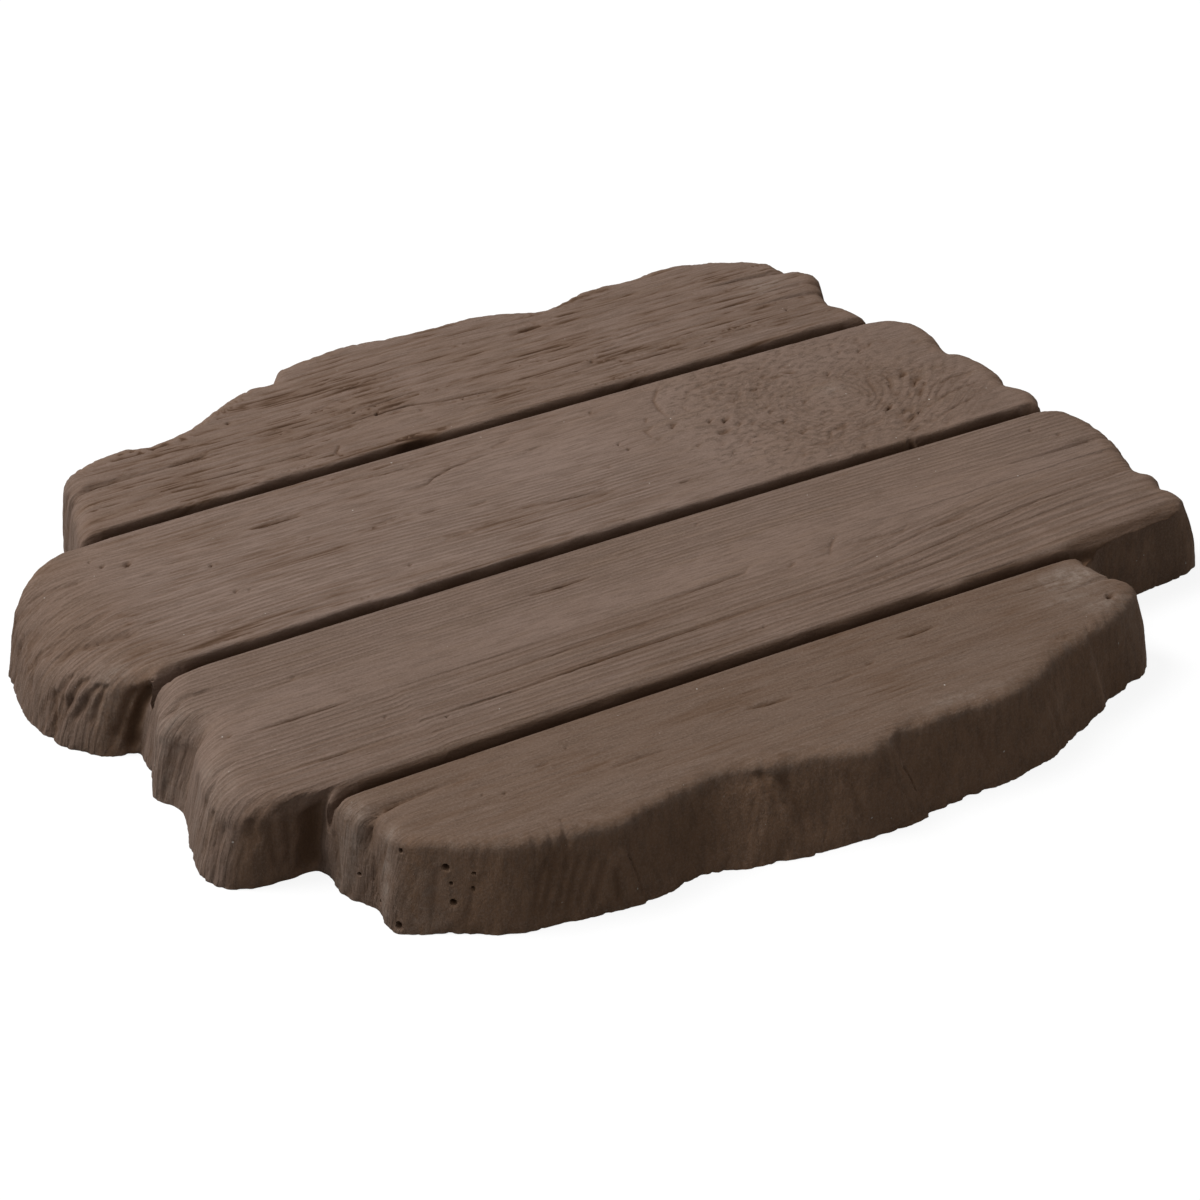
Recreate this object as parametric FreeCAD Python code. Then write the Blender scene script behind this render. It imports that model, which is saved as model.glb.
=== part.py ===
# A garden stepping stone, cast in one piece to look like four weathered boards lying side by side.
# Millimetres. +X runs along the boards, +Y across them towards the back board, +Z up.
# The origin is the middle of the underside.
import FreeCAD
import Part
import math
import os

# Driving dimensions of the casting
thickness = 38.0
stone_length = 491.0        # between the lines that the longest board ends reach, at the foot
board_pitch = 110.0         # groove to groove, so the two middle boards are this wide
front_board_width = 84.0    # from its groove to the line that its front edge reaches
back_board_width = 111.5    # from its groove to the line that its back edge reaches

# The grooves between the boards
groove_width = 8.0
groove_depth = 9.5
groove_floor = 4.0
arris_radius = 3.0
arris_lead_in = 15.0        # degrees, the slope at which the top turns into a groove

# The rounded-over top edge: how far it reaches in from the rim, and how far it drops
edge_roll = 8.0
edge_drop = 7.0
front_roll = 5.0
front_drop = 4.5
dome_roll = 30.0            # added in the middle of the one board end that is worn to a dome
dome_drop = 16.0
roll_angles = (0.0, 30.0, 60.0, 90.0)   # degrees, sections from the wall to the flat top
facets_per_station = 3

# The four boards from front to back, each from its front side to its back side
front_side = -board_pitch - front_board_width
back_side = board_pitch + back_board_width
board_sides = {
    "front": (front_side, front_board_width),
    "lower": (-board_pitch, board_pitch),
    "upper": (0.0, board_pitch),
    "back": (board_pitch, back_board_width),
}

# The ragged board ends. Each point: share of the board's width from its front side,
# then how far the foot and the rim of the wall stay back from the stone's end line.
left_ends = {
    "front": [
        (0.70, 63, 67),
        (0.85, 56, 62),
        (0.97, 56, 60),
    ],
    "lower": [
        (0.055, 54, 59),
        (0.072, 41, 51),
        (0.095, 26, 38),
        (0.15, 18.5, 29),
        (0.24, 15, 25),
        (0.40, 18.5, 28),
        (0.54, 24, 33),
        (0.65, 27, 38),
        (0.76, 21, 29),
        (0.88, 26, 33),
        (0.96, 28, 39),
    ],
    "upper": [
        (0.035, 28, 38),
        (0.075, 20, 32),
        (0.13, 12, 24),
        (0.24, 4.5, 16),
        (0.46, 0, 11),
        (0.68, 4, 13),
        (0.82, 8, 17),
        (0.91, 14, 24),
        (0.96, 24, 33),
        (0.985, 36, 44),
    ],
    "back": [
        (0.015, 47, 54),
        (0.087, 50, 56),
        (0.242, 57, 62),
        (0.378, 63, 66),
    ],
}
right_ends = {
    "front": [
        (0.65, 68, 79),
        (0.75, 71, 83),
        (0.84, 74, 84.5),
        (0.94, 74, 85),
    ],
    "lower": [
        (0.025, 62, 73),
        (0.050, 34, 40),
        (0.075, 9, 21),
        (0.12, 2.5, 16.5),
        (0.18, 3, 15.5),
        (0.24, 7, 18),
        (0.32, 4, 14.5),
        (0.40, 7, 18),
        (0.50, 4, 14.5),
        (0.69, 0, 9),
        (0.85, 1, 9.5),
        (0.925, 4, 12),
        (0.965, 11, 20),
    ],
    "upper": [
        (0.03, 9, 18.5),
        (0.10, 5, 14.5),
        (0.18, 6, 15.5),
        (0.235, 10, 20),
        (0.32, 7, 16.5),
        (0.42, 6, 16),
        (0.52, 9, 18.5),
        (0.585, 14, 24),
        (0.74, 11, 21),
        (0.86, 11, 20.5),
        (0.93, 16, 25.5),
        (0.975, 31, 40.5),
    ],
    "back": [
        (0.03, 29, 38),
        (0.125, 30, 39.5),
        (0.215, 34, 44),
        (0.36, 28, 38.5),
        (0.485, 23, 33.5),
        (0.57, 32, 42.5),
    ],
}

# The wavy long edges. Each point: share of the stone's length from the left,
# then how far the foot and the rim stay back from the edge line.
front_edge = [
    (0.165, 30, 38),
    (0.205, 18, 26),
    (0.250, 14, 20),
    (0.295, 11, 16),
    (0.330, 10, 20.5),
    (0.368, 13.5, 23.5),
    (0.402, 8, 25),
    (0.435, 4.5, 19),
    (0.475, 1.5, 15),
    (0.512, 0, 8),
    (0.550, 0, 12.5),
    (0.600, 3, 12.5),
    (0.650, 4, 12),
    (0.695, 8, 18),
    (0.725, 14, 26),
    (0.755, 20, 31),
    (0.787, 28.5, 34.5),
]
back_edge = [
    (0.185, 38, 46),
    (0.205, 37, 44.5),
    (0.233, 39, 47),
    (0.275, 34, 42),
    (0.320, 22, 30),
    (0.357, 14, 22),
    (0.380, 14, 22.5),
    (0.398, 5, 13),
    (0.435, 2, 9.5),
    (0.470, 0, 7),
    (0.520, 3.5, 11),
    (0.600, 4.5, 12),
    (0.640, 10, 18),
    (0.665, 15, 23.5),
    (0.725, 8, 16),
    (0.780, 8, 16.5),
    (0.825, 7, 15),
    (0.865, 13, 22),
]

# The four corners. Each: how far the foot stays back from the end line and from the edge line,
# then how far the rim leans in from the foot.
corners = {
    "front left": (61.5, 42, 9),
    "back left": (68, 49, 6),
    "back right": (40, 28, 10),
    "front right": (75, 40, 9),
}


class Station:
    """One upright line of the outline: foot and rim in plan, and how the top edge rolls over there."""

    def __init__(self, foot, rim, inward, roll, drop):
        self.foot = foot
        self.rim = rim
        self.inward = inward
        self.roll = roll
        self.drop = drop

    def on_wall(self, share):
        """A point of the leaning wall, at a share of the way from the foot to the rim."""
        lean = self.rim.sub(self.foot)
        return self.foot.add(lean.multiply(share))

    def on_roll(self, angle):
        """A point of the rounded top edge, from the top of the wall (0 degrees) to the flat top (90)."""
        start = self.on_wall(1.0 - self.drop / thickness)
        end = self.rim.add(FreeCAD.Vector(self.inward).multiply(self.roll))
        turn = math.radians(angle)
        return FreeCAD.Vector(
            end.x + (start.x - end.x) * math.cos(turn),
            end.y + (start.y - end.y) * math.cos(turn),
            thickness - self.drop + self.drop * math.sin(turn),
        )


def end_stations(ends, end_line, towards_middle, board, dome):
    """The stations of one board end, from its front side to its back side."""
    side, width = board_sides[board]
    stations = []
    for share, foot_back, rim_back in ends[board]:
        across = side + share * width
        worn = math.sin(math.pi * share) if dome else 0.0
        stations.append(
            Station(
                FreeCAD.Vector(end_line + towards_middle * foot_back, across, 0.0),
                FreeCAD.Vector(end_line + towards_middle * rim_back, across, thickness),
                FreeCAD.Vector(towards_middle, 0.0, 0.0),
                edge_roll + dome_roll * worn,
                edge_drop + dome_drop * worn,
            )
        )
    return stations


def edge_stations(edge, edge_line, towards_middle, roll, drop):
    """The stations of one long edge, from left to right."""
    stations = []
    for share, foot_back, rim_back in edge:
        along = share * stone_length
        stations.append(
            Station(
                FreeCAD.Vector(along, edge_line + towards_middle * foot_back, 0.0),
                FreeCAD.Vector(along, edge_line + towards_middle * rim_back, thickness),
                FreeCAD.Vector(0.0, towards_middle, 0.0),
                roll,
                drop,
            )
        )
    return stations


def corner_station(name, end_line, edge_line, inward, roll, drop):
    """The station on a corner, where the wall leans in and rolls over on the diagonal."""
    end_back, edge_back, lean = corners[name]
    inward.normalize()
    foot = FreeCAD.Vector(
        end_line + math.copysign(end_back, inward.x),
        edge_line + math.copysign(edge_back, inward.y),
        0.0,
    )
    rim = foot.add(FreeCAD.Vector(inward).multiply(lean))
    rim.z = thickness
    return [Station(foot, rim, inward, roll, drop)]


def outline():
    """All stations, once round the stone, starting at its left end."""
    left = []
    right = []
    for board in board_sides:
        left += end_stations(left_ends, 0.0, 1.0, board, board == "upper")
        right += end_stations(right_ends, stone_length, -1.0, board, False)
    front = edge_stations(front_edge, front_side, 1.0, front_roll, front_drop)
    back = edge_stations(back_edge, back_side, -1.0, edge_roll, edge_drop)
    front_left = corner_station(
        "front left", 0.0, front_side, FreeCAD.Vector(1.0, 1.0, 0.0), front_roll, front_drop
    )
    back_left = corner_station(
        "back left", 0.0, back_side, FreeCAD.Vector(1.0, -1.0, 0.0), edge_roll, edge_drop
    )
    back_right = corner_station(
        "back right", stone_length, back_side, FreeCAD.Vector(-1.0, -1.0, 0.0), edge_roll, edge_drop
    )
    front_right = corner_station(
        "front right", stone_length, front_side, FreeCAD.Vector(-1.0, 1.0, 0.0), front_roll, front_drop
    )
    return front_left + left + back_left + back + back_right + right[::-1] + front_right + front[::-1]


def knots(points):
    """Curve parameters, by the root of each step, that keep a curve from swinging out between close points."""
    parameters = [0.0]
    for point, following in zip(points, points[1:] + points[:1]):
        parameters.append(parameters[-1] + math.sqrt(point.distanceToPoint(following)))
    return parameters


def smooth_loop(points, parameters):
    """A closed polygon on the smooth curve through points, in facets_per_station short sides for each."""
    count = len(points)
    lap = parameters[-1]
    loop = []
    for index in range(count):
        before, start, end, after = (points[(index + step) % count] for step in (-1, 0, 1, 2))
        t_before = parameters[index - 1] if index else parameters[count - 1] - lap
        t_start = parameters[index]
        t_end = parameters[index + 1]
        t_after = parameters[index + 2] if index + 2 <= count else lap + parameters[1]
        span = t_end - t_start
        leave = slope(before, start, end, t_before, t_start, t_end).multiply(span)
        arrive = slope(start, end, after, t_start, t_end, t_after).multiply(span)
        for facet in range(facets_per_station):
            s = facet / facets_per_station
            point = FreeCAD.Vector(start).multiply(2 * s**3 - 3 * s**2 + 1)
            point = point.add(FreeCAD.Vector(leave).multiply(s**3 - 2 * s**2 + s))
            point = point.add(FreeCAD.Vector(end).multiply(3 * s**2 - 2 * s**3))
            point = point.add(FreeCAD.Vector(arrive).multiply(s**3 - s**2))
            loop.append(point)
    return loop


def slope(before, here, after, t_before, t_here, t_after):
    """The curve's direction at a point, from its two neighbours."""
    back = here.sub(before).multiply(1.0 / (t_here - t_before))
    across = after.sub(before).multiply(1.0 / (t_after - t_before))
    ahead = after.sub(here).multiply(1.0 / (t_after - t_here))
    return back.sub(across).add(ahead)


def cast_block():
    """The block before its grooves: a leaning wall, a rolled-over edge, a flat top and underside."""
    stations = outline()
    sections = [[station.foot for station in stations]]
    for angle in roll_angles:
        sections.append([station.on_roll(angle) for station in stations])
    parameters = knots(sections[0])
    wires = []
    for section in sections:
        loop = smooth_loop(section, parameters)
        wires.append(Part.makePolygon(loop + loop[:1]))
    return Part.makeLoft(wires, True, True)


def groove_cutter(across):
    """A bar that cuts one groove: rounded arrises, leaning walls, a narrow flat floor."""
    lean = math.atan2((groove_width - groove_floor) / 2.0, groove_depth)
    first = math.radians(90.0 - arris_lead_in)
    floor = thickness - groove_depth
    half = groove_width / 2.0
    # The arris arc ends on the leaning wall and starts where it meets the flat top
    centre_z = thickness - arris_radius * math.sin(first)
    wall_z = centre_z + arris_radius * math.sin(lean)
    wall_half = half - (thickness - wall_z) * math.tan(lean)
    centre = wall_half + arris_radius * math.cos(lean)
    middle = (first + lean) / 2.0

    def at(side, angle):
        return FreeCAD.Vector(
            0.0,
            across + side * (centre - arris_radius * math.cos(angle)),
            centre_z + arris_radius * math.sin(angle),
        )

    above = thickness + groove_depth
    mouth = centre - arris_radius * math.cos(first)
    lid_corners = [
        FreeCAD.Vector(0.0, across - mouth, above),
        FreeCAD.Vector(0.0, across + mouth, above),
    ]
    floor_corners = [
        FreeCAD.Vector(0.0, across + groove_floor / 2.0, floor),
        FreeCAD.Vector(0.0, across - groove_floor / 2.0, floor),
    ]
    edges = [
        Part.LineSegment(lid_corners[0], lid_corners[1]).toShape(),
        Part.LineSegment(lid_corners[1], at(1.0, first)).toShape(),
        Part.Arc(at(1.0, first), at(1.0, middle), at(1.0, lean)).toShape(),
        Part.LineSegment(at(1.0, lean), floor_corners[0]).toShape(),
        Part.LineSegment(floor_corners[0], floor_corners[1]).toShape(),
        Part.LineSegment(floor_corners[1], at(-1.0, lean)).toShape(),
        Part.Arc(at(-1.0, lean), at(-1.0, middle), at(-1.0, first)).toShape(),
        Part.LineSegment(at(-1.0, first), lid_corners[0]).toShape(),
    ]
    profile = Part.Face(Part.Wire(edges))
    overrun = groove_width
    profile.translate(FreeCAD.Vector(-overrun, 0.0, 0.0))
    return profile.extrude(FreeCAD.Vector(stone_length + 2.0 * overrun, 0.0, 0.0))


def stepping_stone():
    """The finished casting, standing on its underside with the origin in the middle of it."""
    grooves = [groove_cutter(across) for across in (-board_pitch, 0.0, board_pitch)]
    stone = cast_block().cut(grooves)
    box = stone.optimalBoundingBox(False, False)
    stone.translate(FreeCAD.Vector(-box.Center.x, -box.Center.y, -box.ZMin))
    return stone


os.makedirs("parts", exist_ok=True)
stone = stepping_stone()
solid = stone.Solids[0]
box = solid.optimalBoundingBox(False, False)
print("size", round(box.XLength, 1), round(box.YLength, 1), round(box.ZLength, 1))
print("solids", len(stone.Solids), "valid", solid.isValid(), "volume", round(solid.Volume))
solid.exportStep("parts/stepping_stone.step")
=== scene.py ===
# A garden stepping stone: one casting of brown concrete that looks like four weathered boards.
# A fine skin stands for the solid: the same outline, grooves and rolled edges, with the grain, knots,
# cracks, pores and crumbly foot of the real surface.
# Lengths are millimetres on the stone's plan: x along the boards, y across them from the middle groove,
# z up from the underside. The mesh itself is in metres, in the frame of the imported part.
import math
from itertools import product

import bpy
import numpy as np
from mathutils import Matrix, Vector
from mathutils.geometry import delaunay_2d_cdt
from mathutils.kdtree import KDTree


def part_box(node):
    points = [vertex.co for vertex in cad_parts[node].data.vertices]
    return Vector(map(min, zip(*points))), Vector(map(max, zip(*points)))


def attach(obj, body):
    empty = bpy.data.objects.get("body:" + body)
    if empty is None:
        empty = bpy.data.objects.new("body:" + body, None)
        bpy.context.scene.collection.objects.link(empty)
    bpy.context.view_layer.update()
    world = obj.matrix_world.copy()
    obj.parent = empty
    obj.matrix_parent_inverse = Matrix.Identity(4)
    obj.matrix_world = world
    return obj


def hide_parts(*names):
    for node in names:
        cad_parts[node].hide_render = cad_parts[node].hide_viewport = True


# Sizes of the casting, as the solid has them
thickness = 38.0
stone_length = 491.0
board_pitch = 110.0
front_board_width = 84.0
back_board_width = 111.5
groove_width = 8.0
groove_depth = 9.5
groove_floor = 4.0
near_arris_radius = 1.5     # the crisper lip on its front side
arris_lead_in = 15.0        # degrees
edge_roll = 8.0
edge_drop = 7.0
front_roll = 5.0
front_drop = 4.5
dome_roll = 30.0
dome_drop = 16.0
worn_end_roll = 5.0         # what wear adds to the rolled edge at the lower board's left end
worn_end_drop = 6.0
worn_front = 0.5            # and the share it adds on the right part of the front edge
worn_front_reach = (0.64, 0.76)     # shares of the stone's length between which that wear sets in
clear_of_top = thickness + 5.0      # a height that no point of the top reaches
board_overhang = edge_roll * 3.0    # how far the outer boards' grain reaches past their sides

left_line = -217.0          # plan x of the line that the longest left end reaches
right_line = left_line + stone_length
front_side = -board_pitch - front_board_width
back_side = board_pitch + back_board_width
groove_lines = (-board_pitch, 0.0, board_pitch)
board_sides = {
    "front": (front_side, front_board_width),
    "lower": (-board_pitch, board_pitch),
    "upper": (0.0, board_pitch),
    "back": (board_pitch, back_board_width),
}

# The ragged board ends. Each point: share of the board's width from its front side,
# then how far the foot and the rim of the wall stay back from the stone's end line.
left_ends = {
    "front": [(0.70, 63, 67), (0.85, 56, 62), (0.97, 56, 60)],
    "lower": [
        (0.055, 54, 59), (0.072, 41, 51), (0.095, 26, 38), (0.15, 18.5, 29), (0.24, 15, 25),
        (0.40, 18.5, 28), (0.54, 24, 33), (0.65, 27, 38), (0.76, 21, 29), (0.88, 26, 33), (0.96, 28, 39),
    ],
    "upper": [
        (0.035, 28, 38), (0.075, 20, 32), (0.13, 12, 24), (0.24, 4.5, 16), (0.46, 0, 11), (0.68, 4, 13),
        (0.82, 8, 17), (0.91, 14, 24), (0.96, 24, 33), (0.985, 36, 44),
    ],
    "back": [(0.015, 47, 54), (0.087, 50, 56), (0.242, 57, 62), (0.378, 63, 66)],
}
right_ends = {
    "front": [(0.65, 68, 79), (0.75, 71, 83), (0.84, 74, 84.5), (0.94, 74, 85)],
    "lower": [
        (0.025, 62, 73), (0.050, 34, 40), (0.075, 9, 21), (0.12, 2.5, 16.5), (0.18, 3, 15.5),
        (0.24, 7, 18), (0.32, 4, 14.5), (0.40, 7, 18), (0.50, 4, 14.5), (0.69, 0, 9), (0.85, 1, 9.5),
        (0.925, 4, 12), (0.965, 11, 20),
    ],
    "upper": [
        (0.03, 9, 18.5), (0.10, 5, 14.5), (0.18, 6, 15.5), (0.235, 10, 20), (0.32, 7, 16.5),
        (0.42, 6, 16), (0.52, 9, 18.5), (0.585, 14, 24), (0.74, 11, 21), (0.86, 11, 20.5),
        (0.93, 16, 25.5), (0.975, 31, 40.5),
    ],
    "back": [
        (0.03, 29, 38), (0.125, 30, 39.5), (0.215, 34, 44), (0.36, 28, 38.5), (0.485, 23, 33.5),
        (0.57, 32, 42.5),
    ],
}
# The wavy long edges. Each point: share of the stone's length, then the foot's and the rim's setback.
front_edge = [
    (0.165, 30, 38), (0.205, 18, 26), (0.250, 14, 20), (0.295, 11, 16), (0.330, 10, 20.5),
    (0.368, 13.5, 23.5), (0.402, 8, 25), (0.435, 4.5, 19), (0.475, 1.5, 15), (0.512, 0, 8),
    (0.550, 0, 12.5), (0.600, 3, 12.5), (0.650, 4, 12), (0.695, 8, 18), (0.725, 14, 26), (0.755, 20, 31),
    (0.787, 28.5, 34.5),
]
back_edge = [
    (0.185, 38, 46), (0.205, 37, 44.5), (0.233, 39, 47), (0.275, 34, 42), (0.320, 22, 30),
    (0.357, 14, 22), (0.380, 14, 22.5), (0.398, 5, 13), (0.435, 2, 9.5), (0.470, 0, 7), (0.520, 3.5, 11),
    (0.600, 4.5, 12), (0.640, 10, 18), (0.665, 15, 23.5), (0.725, 8, 16), (0.780, 8, 16.5),
    (0.825, 7, 15), (0.865, 13, 22),
]
# The corners: setback of the foot from the end line and from the edge line, then the lean of the wall.
corners = {
    "front left": (61.5, 42, 9),
    "back left": (68, 49, 6),
    "back right": (40, 28, 10),
    "front right": (75, 40, 9),
}

# The worn lip on each groove's back side
far_arris_radii = {-board_pitch: 4.4, 0.0: 2.0, board_pitch: 2.2}
# Where a groove's back lip bulges into it: groove line, x, half length, bulge
lip_bulges = [
    (-board_pitch, 132, 9, 1.8), (0.0, -68, 9, 1.5), (board_pitch, 30, 16, 0.9), (board_pitch, -95, 14, 1.0),
    (-board_pitch, 252, 26, -4.0),
]
# Where a groove runs out, its lips are worn round: groove line, x where the wear begins and where it is full,
# what it adds to the radius of the front and the back lip, and to the depth
worn_mouths = [
    (0.0, -158, -178, 4.5, 5.0, 10.0), (-board_pitch, -146, -162, 2.0, 5.0, 7.0),
    (-board_pitch, 184, 212, 0.0, 8.0, 0.0), (board_pitch, -150, -165, 2.0, 2.0, 4.0),
]
# the hole is painted dark, as the shade in it
groove_hole = (188.0, 3.0, 2.0, 4.5)        # x, y, radius, depth

# Splits that open at a board's end. Each: route from the tip outwards, then half width and depth
# at the open end.
splits = [
    ([(-84, 150), (-110, 150), (-140, 151), (-168, 147)], 2.8, 4.5),
    ([(-160, -22), (-168, -20), (-175, -20), (-181, -20.5), (-188, -24)], 2.4, 3.4),
    ([(-158, -41), (-172, -40.5), (-180, -41.5), (-188, -43)], 1.8, 1.6),
    ([(-166, -68), (-180, -69), (-189, -71), (-196, -76)], 2.4, 2.6),
    ([(-104, -124.5), (-138, -125), (-149, -127), (-157, -132), (-163, -140)], 4.0, 4.8),
    ([(180, 174), (203, 174), (226, 172), (240, 170)], 2.2, 3.0),
    ([(210, 156), (226, 155.5), (242, 154)], 1.6, 2.2), ([(192, 147), (213, 147), (240, 145)], 1.8, 2.6),
    ([(196, -37.5), (232, -37.5), (270, -37)], 1.8, 2.4),
    ([(164, -135), (187, -133.5), (198, -133)], 1.7, 2.0), ([(-91, -165), (-95, -178)], 1.5, 2.0),
    ([(-97.5, -166), (-101.5, -178)], 1.3, 1.7), ([(-104, -165), (-107, -176)], 1.2, 1.4),
]

# Closed cracks and checks along the grain. Each: route, half width, depth.
cracks = [
    # back board
    ([(-48, 142), (-30, 144), (-5, 145.5), (10, 145), (25, 141), (45, 138.5), (70, 135)], 0.9, 0.9),
    ([(-25, 152), (15, 155), (30, 153)], 0.8, 0.6), ([(-60, 152), (-48, 152.3)], 0.8, 0.5),
    ([(82, 180), (91, 181.5), (102, 181.5)], 1.4, 1.3), ([(58, 182), (85, 184)], 0.7, 0.4),
    ([(-14, 172), (10, 175), (32, 172.5)], 0.8, 0.5), ([(-30, 161), (-12, 166), (8, 167)], 0.7, 0.4),
    ([(112, 131), (125, 129.6), (140, 129), (153, 128)], 1.2, 0.8), ([(73, 153.5), (87, 151)], 0.8, 0.5),
    ([(108, 144), (131, 146)], 0.8, 0.5), ([(128, 153), (145, 154.5), (163, 155)], 0.8, 0.5),
    ([(65, 133), (90, 134), (140, 136), (176, 135)], 0.7, 0.45),
    ([(158, 127.5), (170, 131), (180, 130.5), (194, 128)], 0.8, 0.5),
    ([(-35, 117), (-37, 123), (-32, 129)], 1.0, 0.9), ([(-106, 150.3), (-86, 150)], 1.2, 1.1),
    ([(-102, 131), (-70, 129.5), (-48, 128.5)], 0.7, 0.4), ([(-132, 129.5), (-114, 130.5)], 0.8, 0.45),
    ([(100, 171), (150, 171.5), (196, 168)], 0.6, 0.35), ([(30, 191), (70, 190), (110, 187)], 0.7, 0.4),
    # upper board
    ([(-99, 83), (-74, 82.5)], 1.3, 1.2), ([(-155, 71), (-146, 70)], 0.8, 0.5),
    ([(-144, 75), (-127, 74)], 0.7, 0.4), ([(-96, 66), (-84, 66)], 0.8, 0.4),
    ([(-28, 77), (-16, 78), (-10, 82), (0, 85.5), (10, 86.5), (21, 88)], 0.9, 0.8),
    ([(-33, 95), (-14, 95.5)], 0.8, 0.5), ([(24, 92.5), (36, 95)], 0.8, 0.6),
    ([(33, 80), (45, 83)], 0.8, 0.45), ([(-53, 59), (-37, 61)], 0.8, 0.55),
    ([(-32, 57), (-20, 57)], 0.9, 0.8), ([(-31, 34.5), (-19, 34)], 0.9, 0.8),
    ([(-11, 52), (1, 52)], 0.9, 0.7), ([(9, 39), (35, 36), (51, 34)], 0.8, 0.8),
    ([(78, 23), (86, 23.5)], 1.0, 0.6),
    # round the knots of the upper board
    ([(118, 103), (108, 92), (105.5, 84), (105.5, 74)], 1.2, 0.8),
    ([(172, 93), (150, 94), (135, 93), (126, 91), (121, 86), (117, 83)], 1.1, 0.6),
    ([(116, 82), (116, 74)], 1.3, 0.5), ([(97, 80), (94, 76)], 1.2, 0.8),
    ([(96, 72), (90, 70), (89.5, 62)], 1.1, 0.7), ([(89, 60), (94, 60.5)], 1.0, 0.6),
    ([(100.5, 65), (106, 70)], 1.5, 1.3), ([(116, 49.5), (124, 52.5)], 1.7, 1.5),
    ([(143, 98), (156, 98.5)], 1.2, 0.7), ([(161, 84), (165, 88)], 1.6, 0.8),
    ([(165, 83), (172, 82)], 1.2, 0.7), ([(172, 84.5), (179, 82)], 1.5, 1.2),
    ([(150, 76.5), (156, 78.5)], 1.2, 0.8), ([(140, 72), (148, 80)], 0.9, 0.5),
    ([(206, 65), (202, 58), (200, 50), (198, 43)], 1.2, 0.6),
    ([(212, 63), (211, 53), (206, 45)], 1.2, 0.7), ([(217, 53), (223, 58)], 1.7, 1.2),
    ([(215.5, 42), (225, 51)], 2.1, 1.6), ([(213, 34), (220.5, 41)], 1.6, 1.2),
    ([(220, 41), (225, 44)], 1.2, 0.9), ([(208, 35), (214, 40)], 1.2, 0.7),
    ([(192, 30), (199, 34.5)], 1.3, 1.0), ([(195, 17), (204, 22)], 1.4, 1.1),
    ([(192, 8), (199, 12)], 1.2, 0.8), ([(206, 12), (222, 18), (240, 22)], 0.9, 0.6),
    ([(212, 24), (228, 30), (246, 32)], 0.9, 0.6), ([(222, 38), (236, 41), (250, 41)], 0.9, 0.6),
    ([(168, 22), (178, 24), (188, 25)], 1.0, 0.6), ([(156, 24), (162, 28)], 1.0, 0.6),
    ([(166, 28), (172, 31)], 1.0, 0.7), ([(144, 22), (152, 20), (162, 18)], 1.0, 0.6),
    # lower board
    ([(-24, -23.8), (6, -24)], 1.3, 1.2), ([(-152, -32), (-130, -30), (-112, -30)], 0.8, 0.4),
    ([(-168, -56), (-140, -55.5), (-121, -56)], 0.9, 0.9),
    ([(-105, -57), (-40, -56.5), (10, -55.5)], 0.7, 0.5),
    ([(14, -56), (40, -55), (62, -54.5), (68, -50)], 1.0, 0.9),
    ([(-186, -82), (-100, -82), (-60, -82)], 0.8, 0.5),
    ([(-92, -82), (-64, -82), (-10, -80.5), (58, -79.5)], 1.0, 1.0),
    ([(-180, -66), (-118, -65.5)], 0.7, 0.4),
    ([(-104, -70.5), (-60, -68), (-10, -66.5), (40, -64.5)], 0.7, 0.45),
    ([(-180, -86.5), (-110, -86)], 0.7, 0.4), ([(-150, -92), (-84, -91)], 0.7, 0.4),
    ([(60, -80), (110, -80.5), (160, -74.5), (205, -68.5), (256, -67.5)], 0.9, 0.8),
    ([(98, -75), (120, -70), (150, -64), (192, -57)], 0.8, 0.6), ([(152, -64), (170, -63.5)], 1.0, 0.8),
    ([(40, -87), (110, -85.5), (170, -80), (256, -75.5)], 0.8, 0.55),
    ([(40, -92), (110, -90.5), (170, -86), (256, -82)], 0.8, 0.5),
    ([(100, -62), (106, -54), (113, -48)], 1.0, 0.7),
    ([(117, -58), (128, -58.5), (138, -60), (146, -55)], 0.9, 0.5), ([(80, -60), (86, -58)], 1.3, 0.8),
    # front board
    ([(-58, -147.5), (-44, -147.3), (-34, -148)], 1.0, 0.8),
    ([(7, -139.8), (15, -141), (29, -142)], 1.2, 1.1), ([(34, -140), (40, -140.4)], 0.9, 0.6),
    ([(46, -141.5), (58, -141)], 0.8, 0.6), ([(65, -138), (71, -137.5)], 0.9, 0.7),
    ([(87, -128.6), (100, -128.6), (109, -128)], 1.2, 1.0), ([(-84, -132), (-76, -132.4)], 1.0, 0.7),
    ([(139, -160.5), (151, -161.5)], 1.0, 0.7), ([(75, -167.5), (85, -168)], 1.0, 0.6),
    ([(150, -125), (186, -126)], 0.8, 0.5), ([(96, -138), (103, -138.5)], 0.7, 0.4),
]

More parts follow.
